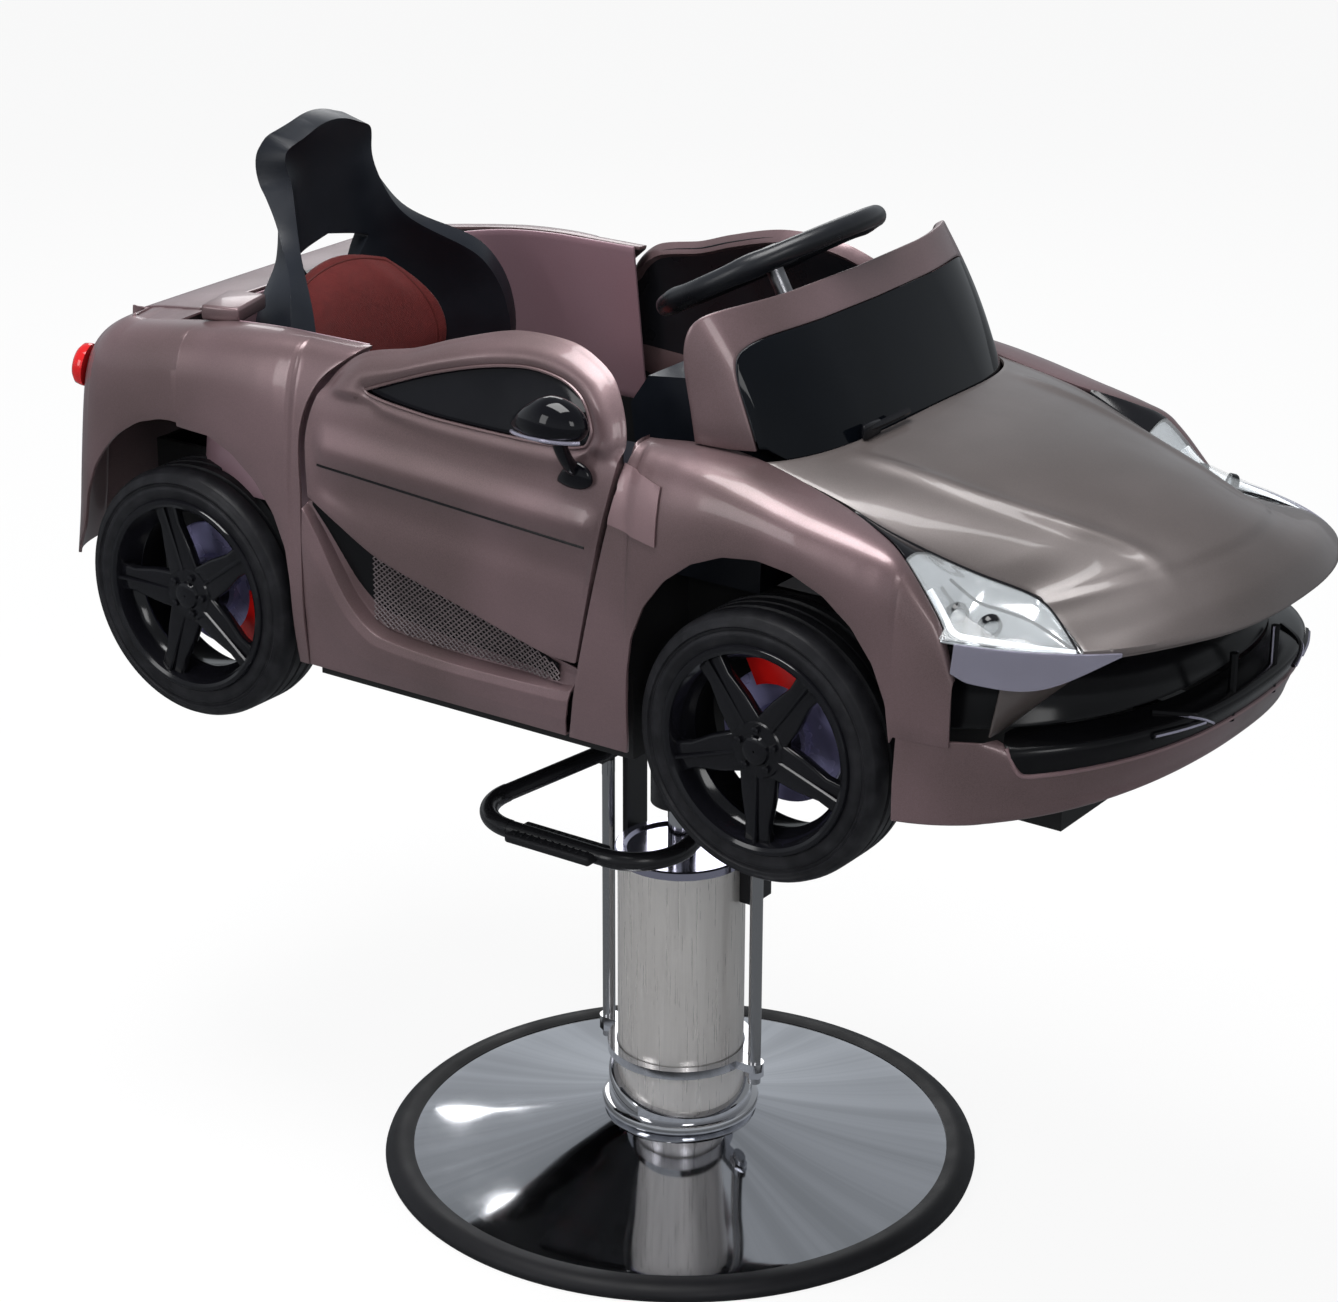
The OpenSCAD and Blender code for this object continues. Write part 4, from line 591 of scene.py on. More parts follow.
def sheet(surface, nu, nv):
    """A grid of points of surface(u, v)."""
    fresh()
    bpy.ops.mesh.primitive_grid_add(x_subdivisions=nu, y_subdivisions=nv, size=1)
    piece = bpy.context.object
    for vert in piece.data.vertices:
        u, v = clamp(vert.co.x + 0.5), clamp(vert.co.y + 0.5)
        vert.co = Vector(surface(round(u, 6), round(v, 6))) * MM
    return piece


def walled(piece, side, wall, rim, both=False):
    """The sheet gets its wall inside and a rounded rim."""
    if side > 0:
        mesh_edit(piece, turn_over)
    if both:
        mirrored(piece)
    modifier(piece, "SOLIDIFY", thickness=wall * MM, offset=-1, use_even_offset=False)
    if rim:
        modifier(piece, "BEVEL", width=rim * MM, segments=2, limit_method="ANGLE", angle_limit=radians(50))
    return piece


def laid(surface, nu, nv, side, wall=3.0, both=False, rim=0.9):
    return walled(sheet(surface, nu, nv), side, wall, rim, both)


def ringed(surface, nu, nv, side, wall, rim):
    """A closed band: u runs round it, v from its inner edge outwards."""
    piece = sheet(lambda u, v: surface(u % 1, v), nu, nv)
    mesh_edit(piece, weld)
    return walled(piece, side, wall, rim)


def turned(profile, n, axis="Z"):
    """A profile of (radius, height) points turned round an axis, ring by ring."""
    fresh()
    radius, height = profile[0]
    bpy.ops.mesh.primitive_circle_add(vertices=n, radius=radius * MM, location=(0, 0, 0))
    piece = bpy.context.object
    bpy.ops.object.mode_set(mode="EDIT")
    bpy.ops.mesh.select_all(action="SELECT")
    bpy.ops.transform.translate(value=(0, 0, height * MM))
    for r, h in profile[1:]:
        bpy.ops.mesh.extrude_region_move(TRANSFORM_OT_translate={"value": (0, 0, (h - height) * MM)})
        k = r / radius
        bpy.ops.transform.resize(value=(k, k, 1))
        radius, height = r, h
    bpy.ops.mesh.select_all(action="SELECT")
    bpy.ops.object.mode_set(mode="OBJECT")
    mesh_edit(piece, bridge)
    outward(piece)
    lay_rings(piece, n)
    if axis == "X":
        piece.data.transform(Matrix.Rotation(pi / 2, 4, "Y"))
    elif axis == "Y":
        piece.data.transform(Matrix.Rotation(-pi / 2, 4, "X"))
    return piece


def lay_rings(piece, n):
    """UV: u counts turns round the axis, v the way along the profile."""
    layer = piece.data.uv_layers.new(name="Turn")
    for face in piece.data.polygons:
        spots = [piece.data.vertices[piece.data.loops[i].vertex_index].co for i in face.loop_indices]
        us = [(atan2(p.y, p.x) / (2 * pi)) % 1 for p in spots]
        if max(us) - min(us) > 0.5:
            us = [t + 1 if t < 0.5 else t for t in us]
        for i, u, p in zip(face.loop_indices, us, spots):
            layer.data[i].uv = (u, hypot(p.x, p.y))


def rod_along(points, radius, ring, cyclic=False):
    """A round bar that follows points, as a curve made into a mesh."""
    fresh()
    line = bpy.data.curves.new("bar", "CURVE")
    line.dimensions = "3D"
    spline = line.splines.new("NURBS")
    spline.points.add(len(points) - 1)
    for spot, p in zip(spline.points, points):
        spot.co = (p[0] * MM, p[1] * MM, p[2] * MM, 1)
    spline.order_u = 3
    spline.use_endpoint_u = True
    spline.resolution_u = 6
    spline.use_cyclic_u = cyclic
    line.bevel_depth = radius * MM
    line.bevel_resolution = max(ring // 4 - 1, 0)
    line.use_fill_caps = not cyclic
    piece = bpy.data.objects.new("bar", line)
    bpy.context.scene.collection.objects.link(piece)
    only(piece)
    bpy.ops.object.convert(target="MESH")
    piece = bpy.context.object
    outward(piece)
    return piece


def at(spot):
    """The move to a spot in millimetres."""
    return Matrix.Translation(Vector(spot) * MM)


def spun(angle, axis):
    return Matrix.Rotation(radians(angle), 4, axis)


def block(size, spot, rim, turn=None, segments=2):
    """A box with rounded edges, turned about its own middle."""
    fresh()
    bpy.ops.mesh.primitive_cube_add(size=1)
    piece = bpy.context.object
    for vert in piece.data.vertices:
        vert.co = Vector(c * s for c, s in zip(vert.co, size)) * MM
    modifier(piece, "BEVEL", width=rim * MM, segments=segments, limit_method="ANGLE")
    if turn:
        piece.data.transform(turn)
    piece.data.transform(at(spot))
    return piece


def plate(outline, thick, rim, segments=2):
    """A flat shape in the XY plane, raised by its thickness, with rounded edges."""
    fresh()
    bpy.ops.mesh.primitive_circle_add(vertices=len(outline), radius=1, fill_type="NGON")
    piece = bpy.context.object
    for vert, p in zip(piece.data.vertices, outline):
        vert.co = Vector((p[0], p[1], 0)) * MM
    bpy.ops.object.mode_set(mode="EDIT")
    bpy.ops.mesh.select_all(action="SELECT")
    bpy.ops.mesh.extrude_region_move(TRANSFORM_OT_translate={"value": (0, 0, thick * MM)})
    bpy.ops.object.mode_set(mode="OBJECT")
    outward(piece)
    modifier(piece, "BEVEL", width=rim * MM, segments=segments, limit_method="ANGLE",
             angle_limit=radians(40))
    return piece


def joined(pieces):
    fresh()
    for p in pieces:
        p.select_set(True)
    bpy.context.view_layer.objects.active = pieces[0]
    if len(pieces) > 1:
        bpy.ops.object.join()
    return bpy.context.object


def copy_of(piece, matrix=None):
    twin = piece.copy()
    twin.data = piece.data.copy()
    bpy.context.scene.collection.objects.link(twin)
    if matrix is not None:
        twin.data.transform(matrix)
        if matrix.determinant() < 0:
            mesh_edit(twin, turn_over)
    return twin


def both_sides(piece):
    return [piece, copy_of(piece, MIRROR)]


def drop(*pieces):
    for piece in pieces:
        bpy.data.objects.remove(piece)


MIRROR = Matrix.Scale(-1, 4, (1, 0, 0))
SIDES = (("left", None), ("right", MIRROR))


# Materials

class Value:
    """A socket that can be used in sums."""

    def __init__(self, finish, socket):
        self.finish, self.socket = finish, socket

    def sum(self, operation, *others):
        return self.finish.node("ShaderNodeMath", {"operation": operation}, *([self] + list(others)))

    def __add__(self, other):
        return self.sum("ADD", other)

    __radd__ = __add__

    def __mul__(self, other):
        return self.sum("MULTIPLY", other)

    def fade(self, low, high, to_low=0.0, to_high=1.0):
        return self.finish.node("ShaderNodeMapRange", {"interpolation_type": "SMOOTHSTEP"}, self, low, high,
                                to_low, to_high)


class Finish:
    """A material: its shader's own sockets are set by name, and its nodes come from node()."""

    def __init__(self, name, color, rough, **sockets):
        self.material = bpy.data.materials.new(name)
        self.material.use_nodes = True
        self.tree = self.material.node_tree
        self.tree.nodes.clear()
        self.out = self.tree.nodes.new("ShaderNodeOutputMaterial")
        self.shader = self.tree.nodes.new("ShaderNodeBsdfPrincipled")
        self.tree.links.new(self.shader.outputs[0], self.out.inputs[0])
        self.set("Base Color", color)
        self.set("Roughness", rough)
        for key, value in sockets.items():
            self.set(key.replace("_", " "), value)

    def feed(self, socket, value):
        """Another socket or a plain value goes into a socket."""
        if isinstance(value, Value):
            self.tree.links.new(value.socket, socket)
        elif isinstance(value, tuple) and len(value) == 3 and socket.type == "RGBA":
            socket.default_value = (*value, 1)
        else:
            socket.default_value = value

    def set(self, key, value):
        self.feed(self.shader.inputs[key], value)

    def node(self, kind, settings=None, *values, out=0, **named):
        made = self.tree.nodes.new(kind)
        for key, value in (settings or {}).items():
            setattr(made, key, value)
        for key, value in list(enumerate(values)) + [(k.replace("_", " "), v) for k, v in named.items()]:
            self.feed(made.inputs[key], value)
        return Value(self, made.outputs[out])

    def place(self, scale=(1, 1, 1), source="Object"):
        spot = self.node("ShaderNodeTexCoord", out=source)
        return self.node("ShaderNodeMapping", {}, spot, (0, 0, 0), (0, 0, 0), scale)

    def split(self, vector, out):
        return self.node("ShaderNodeSeparateXYZ", {}, vector, out=out)

    def noise(self, size, detail=2.0, spot=None, rough=0.5):
        return self.node("ShaderNodeTexNoise", {}, Vector=spot or self.place(), Scale=1000 / size,
                         Detail=detail, Roughness=rough)

    def mix(self, factor, a, b):
        made = self.tree.nodes.new("ShaderNodeMix")
        made.data_type = "RGBA"
        for key, value in ((0, factor), (6, a), (7, b)):
            self.feed(made.inputs[key], value)
        return Value(self, made.outputs[2])

    def relief(self, height, strength, distance=0.0005):
        self.set("Normal", self.node("ShaderNodeBump", {}, Strength=strength, Distance=distance,
                                     Height=height))


def srgb(r, g, b):
    return tuple((c / 255 / 12.92) if c <= 10 else ((c / 255 + 0.055) / 1.055) ** 2.4 for c in (r, g, b))


def car_paint(name, tint, deep, metallic=0.55):
    """Metallic mauve-bronze paint under a clear coat, with fine flake and slow shifts of tone."""
    f = Finish(name, tint, 0.34, Metallic=metallic, Coat_Weight=0.35, Coat_Roughness=0.07)
    flake = f.node("ShaderNodeTexVoronoi", {}, Vector=f.place(), Scale=1900.0, out="Color")
    sparkle = f.node("ShaderNodeSeparateColor", {}, flake)
    tone = f.noise(160, 2).fade(0.3, 0.7)
    f.set("Base Color", f.mix(sparkle * 0.3 + tone * 0.45, deep, tint))
    f.set("Roughness", f.noise(60, 3).fade(0.3, 0.7, 0.34, 0.42))
    return f.material


PAINT = car_paint("mauve_bronze_paint", srgb(136, 111, 116), srgb(96, 79, 79), 0.45)
# A lighter copy of the paint: a painted highlight on the bumper's crest, and the lighter tone of the fender
# covers
LIGHTER_PAINT_AND_HIGHLIGHT = car_paint("mauve_bronze_paint_lighter_and_painted_highlight", srgb(150, 124, 128), srgb(128, 104, 107), 0.4)
# A darker, greyer copy of the paint for the hood, its underlip and the intake cheeks: painted shade, the
# top-facing hood darker than the sides
HOOD_PAINT_SHADED = car_paint("bronze_paint_hood_painted_shade", srgb(110, 102, 101), srgb(84, 77, 75), 0.3)
# A lighter, less metallic copy of the paint for the cabin's inner wall: painted light on the wall that faces
# the light
LINER_PAINT_LIT = car_paint("mauve_paint_inside_painted_light", srgb(172, 142, 152), srgb(152, 120, 130), 0.15)


def grained(name, color, rough, size=1.4, strength=0.25, **sockets):
    f = Finish(name, color, rough, **sockets)
    grain = f.node("ShaderNodeTexVoronoi", {"feature": "DISTANCE_TO_EDGE"}, Vector=f.place(),
                   Scale=1000 / size)
    fine = f.noise(0.7, 2)
    f.relief(grain + fine * 0.4, strength, 0.0004)
    f.set("Roughness", f.noise(45, 3).fade(0.25, 0.75, rough - 0.06, rough + 0.06))
    f.set("Base Color", f.mix(f.noise(90, 3).fade(0.3, 0.7), tuple(c * 0.8 for c in color),
                              tuple(c * 1.2 for c in color)))
    return f.material


def glossy(name, color, rough=0.07, shade=0.8, level=0.3, **sockets):
    f = Finish(name, color, rough, Specular_IOR_Level=level, **sockets)
    f.set("Roughness", f.noise(50, 3).fade(0.3, 0.7, rough, rough + 0.07))
    f.set("Base Color", f.mix(f.noise(70, 2).fade(0.3, 0.7), tuple(c * shade for c in color), color))
    return f.material


def metal(name, color, low, high, size=60, shade=0.92, **sockets):
    f = Finish(name, color, low, Metallic=1.0, **sockets)
    haze = f.noise(size, 4, rough=0.6)
    f.set("Roughness", haze.fade(0.35, 0.75, low, high))
    f.set("Base Color", f.mix(f.noise(size * 2, 3).fade(0.3, 0.7), tuple(c * shade for c in color), color))
    return f.material


def tyre_rubber():
    f = Finish("tyre_rubber", (0.012, 0.012, 0.014), 0.5, Specular_IOR_Level=0.2)
    turn, out = (f.split(f.place(source="UV"), way) for way in (0, 1))
    ribs = (turn * 1400.0).sum("SINE")
    tread = out.fade(0.117, 0.1205)
    f.relief(ribs * (0.15 + tread * 0.7) + f.noise(1.2, 2) * 0.5, 0.35, 0.0006)
    f.set("Roughness", f.noise(25, 4).fade(0.3, 0.7, 0.4, 0.56))
    f.set("Base Color", f.mix(f.noise(18, 4).fade(0.35, 0.75), (0.008, 0.008, 0.01), (0.016, 0.016, 0.019)))
    return f.material


def woven_red():
    f = Finish("woven_red_fabric", (0.2, 0.02, 0.014), 0.85, Sheen_Weight=0.08, Sheen_Roughness=0.4)
    spot = f.place()
    x, y, z = (f.split(spot, way) for way in (0, 1, 2))
    warp = (x * 3100.0).sum("SINE")
    weft = ((z + y) * 3100.0).sum("SINE")
    weave = warp * weft
    f.relief(weave + f.noise(1.5, 3) * 0.8, 0.5, 0.0005)
    f.set("Base Color", f.mix(weave.fade(-0.8, 0.8) * 0.5 + f.noise(9, 4) * 0.5, (0.075, 0.006, 0.006),
                              (0.19, 0.016, 0.014)))
    return f.material


def metal_painted_streaks(name, dark, light, rough, ways=26.0):
    """Spun or polished metal with a painted reflection: dark and light streaks in its colour that change only
    with the way round its axis.
    """
    f = Finish(name, light, rough, Metallic=1.0)
    flat = f.node("ShaderNodeVectorMath", {"operation": "MULTIPLY"}, f.place(), (1.0, 1.0, 0.0))
    way = f.node("ShaderNodeVectorMath", {"operation": "NORMALIZE"}, flat)
    painted_streak = f.node("ShaderNodeTexNoise", {}, Vector=way, Scale=ways / 6, Detail=4.0, Roughness=0.6)
    f.set("Base Color", f.mix(painted_streak.fade(0.36, 0.64), dark, light))
    f.set("Roughness", f.noise(30, 3).fade(0.3, 0.8, rough, rough * 1.5))
    return f.material


def column_painted_sheen():
    """Satin tube with fine scratches along it, and long painted sheen bands along it as a painted reflection.
    """
    f = Finish("satin_column_steel", (0.5, 0.48, 0.46), 0.34, Metallic=0.55)
    fine = f.noise(2.2, 4, f.place((1, 1, 0.03)))
    painted_sheen_bands = f.noise(14, 3, f.place((1, 1, 0.08)))
    # The fine scratches are the steel's own; the long bands are painted reflection
    f.set("Base Color", f.mix(fine * 0.5 + painted_sheen_bands * 0.5, (0.56, 0.53, 0.51), (0.9, 0.87, 0.84)))
    f.set("Roughness", fine.fade(0.3, 0.7, 0.26, 0.42))
    return f.material


CHROME = metal("polished_chrome", (0.62, 0.62, 0.64), 0.06, 0.14)
# The base plate cover's chrome, with radial streaks painted into its colour as painted reflections
PLATE_CHROME = metal_painted_streaks("chrome_painted_streaks", (0.56, 0.57, 0.6), (0.72, 0.73, 0.77), 0.05)
HEAD_CHROME = metal("lavender_chrome", srgb(186, 184, 204), 0.1, 0.2, 50)
COLUMN_STEEL = column_painted_sheen()
STEEL = metal("brushed_steel", (0.36, 0.36, 0.38), 0.28, 0.42, 20)
ROD_STEEL = metal("drawn_rod_steel", (0.42, 0.42, 0.43), 0.2, 0.26, 300, 0.97)
SILVER_TRIM = glossy("silver_lavender_trim", srgb(182, 178, 196), 0.14, 0.9, Metallic=0.75)
IRON = metal("cast_iron", (0.1, 0.1, 0.105), 0.5, 0.7, 12, 0.7)
BLACK_METAL = glossy("black_enamel", (0.012, 0.012, 0.014), 0.2)
BLACK_PLASTIC = grained("grained_black_plastic", (0.008, 0.01, 0.015), 0.42, Specular_IOR_Level=0.3)
TUB_BLACK = grained("moulded_black_tub", (0.012, 0.012, 0.013), 0.5, 2.4, 0.15, Specular_IOR_Level=0.25)
SATIN_BLACK = grained("satin_black_plastic", (0.012, 0.013, 0.016), 0.3, 2.2, 0.12, Specular_IOR_Level=0.3)
GLOSS_BLACK = glossy("gloss_black_plastic", (0.004, 0.004, 0.006), 0.05, 0.8, 0.25)
RIM_BLACK = glossy("gloss_black_wheel", (0.006, 0.006, 0.008), 0.08, 0.8, 0.35)
DUCT_BLACK = glossy("duct_black_plastic", (0.005, 0.005, 0.006), 0.16, 0.8, 0.2)
SCREEN = glossy("tinted_windscreen", (0.003, 0.004, 0.006), 0.03, 0.8, 0.18)
RUBBER = grained("base_rubber", (0.01, 0.01, 0.012), 0.5, 3, 0.15, Specular_IOR_Level=0.22)
TYRE = tyre_rubber()
RED_PLASTIC = glossy("red_caliper", (0.75, 0.012, 0.01), 0.14, 0.85, 0.4)
RED_LENS = glossy("red_lamp_lens", (0.62, 0.012, 0.014), 0.06, 0.8, 0.5)
RED_CLOTH = woven_red()
PIPING = grained("red_piping", (0.1, 0.01, 0.008), 0.6, 1.5)
LAVENDER = glossy("lavender_disc", srgb(150, 146, 190), 0.25, 0.85, 0.5, Metallic=0.5)
SMOKE_GREY = grained("dark_grey_mesh", srgb(120, 110, 112), 0.42, 1.2, 0.2)
PEARL = glossy("lamp_reflector", (0.78, 0.8, 0.82), 0.12, 0.85, Metallic=0.85)
PROJECTOR = glossy("projector_glass", (0.35, 0.38, 0.4), 0.04, 0.6, 0.7)
LAMP_DARK = glossy("lamp_bezel_black", (0.008, 0.008, 0.01), 0.1)
WORLD_LEVEL, SKY_LOW, SKY_HIGH, FLOOR_IN_GLOSS = 0.3, 0.55, 0.3, 0.24
LIGHTS = (("overhead_softbox", (-0.5, 0.2, 3.4), (1.6, 1.6), 95),
          ("front_softbox", (-2.6, -2.8, 2.6), (1.1, 1.3), 26),
          ("side_softbox", (-3.2, 1.4, 1.9), (0.9, 1.6), 22),
          ("back_softbox", (2.6, 2.2, 2.2), (1.4, 1.4), 20))


def clear_lens():
    f = Finish("clear_lens", (0.82, 0.86, 0.88), 0.03, Alpha=0.16, Coat_Weight=0.6, Coat_Roughness=0.02)
    f.set("Roughness", f.noise(40, 2).fade(0.3, 0.7, 0.02, 0.06))
    return f.material


def led_white():
    f = Finish("led_strip", (0.9, 0.93, 0.95), 0.3)
    f.set("Emission Color", f.mix(f.noise(6, 1).fade(0.3, 0.7), (0.85, 0.92, 1.0), (1, 1, 1)))
    f.set("Emission Strength", 0.35)
    return f.material


CLEAR = clear_lens()
LED = led_white()


# Body panels

def body_panel(name, surface, nu, nv, side, replaced, material=PAINT, **options):
    return finish_piece(laid(surface, nu, nv, side, **options), name, material, "car", replaced)


body_panel("front_fender_panels", front_fender, 110, 36, 1, ["front_fenders"], both=True)
# The hood in the darker copy of the paint: painted shade
body_panel("hood_panel", hood, 100, 90, -1, ["hood"], HOOD_PAINT_SHADED)


def lip_height(u):
    """How far up the bumper is body-coloured: all of it at the sides, half of it under the intake."""
    return lerp(0.56, 1, ease((abs(84 * (2 * u - 1)) - 57) / 9))


body_panel("bumper_lip", lambda u, v: bumper(u, v * lip_height(u)), 120, 30, -1, ["front_bumper"])
body_panel("rear_fender_panels", rear_fender, 110, 36, -1, ["rear_fenders"], both=True)
body_panel("rear_deck_panel", deck, 80, 70, -1, ["rear_deck"])
body_panel("sill_panels", sill, 56, 56, -1, ["side_sills"], both=True, wall=2, rim=0.5)
# The cabin's inner wall in the lighter copy of the paint: painted light
body_panel("cabin_liner_wall", liner, 120, 24, 1, ["cabin_liner"], LINER_PAINT_LIT)


def edge_at(surface, y, across_u):
    """The point with this y on the edge of a surface: along u at its top, or along v at its side."""
    spots = [surface(i / 60, 1) if across_u else surface(1, i / 60) for i in range(61)]
    return min(spots, key=lambda p: abs(p[1] - y))


def shoulder(u, v):
    """The corner between the fender's ridge and the side of the deck."""
    y = lerp(LINER_FRONT + LINER_LEN - 5, yy(0.97), u)
    inner, outer = edge_at(deck, y, False), edge_at(rear_fender, y, True)
    x, _, z = lerp(inner, outer, v)
    return x, y, z - 1.5


body_panel("rear_shoulders", shoulder, 24, 8, 1, (), both=True, wall=2, rim=0)


def underlip(u, v):
    """The hood's lip folded back to the top of the intake."""
    a = HOOD_TIP * (2 * u - 1)
    lip = hood(u, 0)
    return lerp((lip[0], lip[1] + 3, lip[2] - 3.2), nose_at(a, zz(0.545) - 6, 30), v)


# The underlip in the darker copy of the paint: painted shade
body_panel("hood_underlip", underlip, 60, 6, 1, (), HOOD_PAINT_SHADED, wall=2, rim=0.5)

# The intake: black duct, its floor, dividers and blades with bright edges
finish_piece(laid(intake, 90, 20, -1, 2.5, rim=0.5), "intake_back", DUCT_BLACK, "car",
             ["front_grille"])


def intake_floor(u, v):
    w = lerp(0.125, 0.875, u)
    return bumper(w, lerp(lip_height(w), 1, v))


finish_piece(laid(intake_floor, 110, 12, -1, 2.5), "intake_floor", DUCT_BLACK, "car")
# A rod along the lip's top in the lighter copy of the paint: a painted highlight along the bumper's crest
crest = rod_along([bumper(w, lip_height(w)) for w in steps(0.13, 0.87, 60)], 2.2, 10)
finish_piece(crest, "bumper_crest", LIGHTER_PAINT_AND_HIGHLIGHT, "car")


def divider(u, v):
    """A body-coloured cheek that slants in from the lamp's foot to the duct."""
    a = lerp(66, lerp(62, 48, v), u)
    return nose_at(a, lerp(bumper_high(a) + 2, TRIM_Z - 33, v), lerp(8, 36, u))


# The cheeks in the darker copy of the paint: painted shade
body_panel("intake_cheeks", divider, 14, 10, 1, (), HOOD_PAINT_SHADED, both=True, wall=2, rim=0.6)


def on_band(x, v, out):
    """A point in front of the bumper's black band at this distance from the middle."""
    low, high = 0.5, 1.0
    for _ in range(20):
        middle = (low + high) / 2
        low, high = (middle, high) if bumper(middle, v)[0] < abs(x) else (low, middle)
    px, y, z = bumper(low, v)
    return x, y - out, z


blades, edges = [], []
for way in (1, -1):
    for inner, outer in (((80, 0.66), (124, 0.94)), ((94, 0.72), (148, 0.76))):
        line = [lerp(inner, outer, t) for t in (0, 0.33, 0.67, 1)]
        blades.append(rod_along([on_band(way * x, v, 0) for x, v in line], 3.5, 12))
        edges.append(rod_along([on_band(way * x, v, 3.6) for x, v in line], 1.2, 8))
    post = [(way * 40, -597, z) for z in (630, 660, 692)]
    blades.append(rod_along(post, 4, 12))
    edges.append(rod_along([(x - way * 4.1, y - 0.4, z) for x, y, z in post], 1.1, 8))
finish_piece(joined(blades), "intake_blades", DUCT_BLACK, "car")
finish_piece(joined(edges), "intake_blade_edges", SILVER_TRIM, "car")

# Headlights: a bowl with two projectors and a light strip under a clear lens, and a black rear quarter
LAMP_SPLIT = 0.3
finish_piece(laid(trim, 40, 12, 1, 3, True), "headlight_trim_pair", SILVER_TRIM, "car",
             ["headlight_trims"])


def front_lamp(u, v, sunk=0.0):
    """The lamp without its black rear quarter."""
    return lamp(lerp(LAMP_SPLIT, 1, u), v, sunk)


def rear_quarter(u, v):
    return lamp(LAMP_SPLIT * u, v)


def bowl(u, v):
    return front_lamp(u, v, 3 + 13 * dsin(180 * u) ** 0.5 * dsin(180 * v) ** 0.7)


def bowl_line(w0, w1, v, lift):
    return [lamp(w, v, lift) for w in steps(w0, w1, 8)]


finish_piece(laid(front_lamp, 60, 20, 1, 1.2, True, 0.3), "headlight_lenses", CLEAR, "car",
             ["headlights"])
finish_piece(laid(rear_quarter, 24, 14, 1, 4, True, 0.6), "headlight_rear_quarters", LAMP_DARK, "car")
finish_piece(laid(bowl, 50, 20, 1, 1.5, True, 0.3), "headlight_bowls", PEARL, "car")
projectors, bezels = [], []
for w, v in ((0.5, 0.3), (0.64, 0.33)):
    lens = turned([(0.5, 3.5), (4, 2.8), (7, 0), (7.6, -4), (0.5, -4)], 32, "Y")
    ring = turned([(7.4, 1.5), (9.4, 2.5), (10.4, 0.5), (10.4, -5), (7.4, -5)], 32, "Y")
    for part, pile in ((lens, projectors), (ring, bezels)):
        part.data.transform(at(lamp(w, v, 6)) @ spun(40, "Z") @ spun(14, "X") @ spun(180, "Z"))
        pile += both_sides(part)
strip = rod_along(bowl_line(0.4, 0.97, 0.1, 3.5), 2.6, 12)
bezels += both_sides(rod_along(bowl_line(0.42, 0.95, 0.62, 5), 1.4, 8))
border = rod_along([lamp(w, 1, -0.6) for w in steps(0, 1, 12)], 1.1, 8)
finish_piece(joined(projectors), "headlight_projectors", PROJECTOR, "car")
finish_piece(joined(bezels), "headlight_bezels", LAMP_DARK, "car")
finish_piece(joined(both_sides(strip)), "headlight_light_strips", LED, "car")
finish_piece(joined(both_sides(border)), "headlight_borders", LAMP_DARK, "car")


# A flush cover on each front fender

def on_surface(surface, y, z):
    """The place of a surface with this y and z, found in four ever finer looks."""
    u, v, reach = 0.5, 0.5, 0.5
    for _ in range(4):
        near = [reach * i / 6 for i in range(-6, 7)]
        spots = [(clamp(u + du), clamp(v + dv)) for du in near for dv in near]
        u, v = min(spots, key=lambda s: (surface(*s)[1] - y) ** 2 + (surface(*s)[2] - z) ** 2)
        reach /= 5
    return surface(u, v)


def fender_cover(u, v):
    x, y, z = on_surface(front_fender, lerp(-152, -97, u), lerp(lerp(760, 768, u), lerp(812, 824, u), v))
    return x + 0.8, y, z


cover = laid(fender_cover, 10, 10, 1, 1.5, True, 0.5)
finish_piece(cover, "fender_covers", LIGHTER_PAINT_AND_HIGHLIGHT, "car")

# Doors: a skin ring with a rolled top, a black window insert, an inner panel and a black rod along the side
# groove, the groove's painted shade

ROLL_END = zz(0.86)


def door(u, v):
    y, z = lerp(around(window_rim, u), around(door_rim, u), v)
    top = ease((z - ROLL_END) / 12)
    x = side_at(y, z) + door_relief(y, z) * (1 - top) * ease(v * 4) * ease((1 - v) * 6)
    x += top * (5 * sin(pi * min(v * 1.15, 1)) - 7 * v ** 5)
    x += (1 - top) * 2.2 * bump(v, 0.05, 0.05)
    return x, y, z


def door_middle(u, v):
    """The inner panel: the door's outline shrunk a little, from its middle outwards."""
    y, z = lerp((yy(0.6), zz(0.62)), around(door_rim, u), lerp(0.02, 0.955, v))
    return side_at(y, z) - 14.2, y, z


def window(u, v):
    y, z = lerp((yy(0.56), zz(0.95)), lerp(around(window_rim, u), (yy(0.56), zz(0.95)), 0.02), v)
    return side_at(y, z) - 4.5, y, z


shell = ringed(door, 240, 40, 1, 13, 1.4)
insert = ringed(window, 120, 6, -1, 2.5, 0.4)
inner = ringed(door_middle, 120, 8, -1, 2, 0.5)


def groove_spot(y):
    z = groove_z(y)
    return side_at(y, z) + door_relief(y, z) * ease((y - yy(0.45)) / 25) - 0.35, y, z


def lip_spot(t):
    y, z = around(window_rim, t / 60)
    return side_at(y, z) + 1.0, y, z


# A black rod along the groove line: painted shade in the groove
groove = rod_along([groove_spot(y) for y in steps(yy(0.468), yy(0.722), 11)], 1.4, 8)
lip = rod_along([lip_spot(t) for t in range(60)], 1.5, 8, True)
for side, flip in SIDES:
    ride, tail = "door_" + side, "_" + side
    finish_piece(copy_of(shell, flip), "door_shell" + tail, PAINT, ride, [ride])
    finish_piece(copy_of(insert, flip), "door_window" + tail, GLOSS_BLACK, ride,
                 ["window" + tail])
    finish_piece(copy_of(inner, flip), "door_inner_panel" + tail, SATIN_BLACK, ride)
    finish_piece(copy_of(groove, flip), "door_groove" + tail, DUCT_BLACK, ride)
    finish_piece(copy_of(lip, flip), "door_window_lip" + tail, PAINT, ride)
drop(shell, insert, inner, groove, lip)


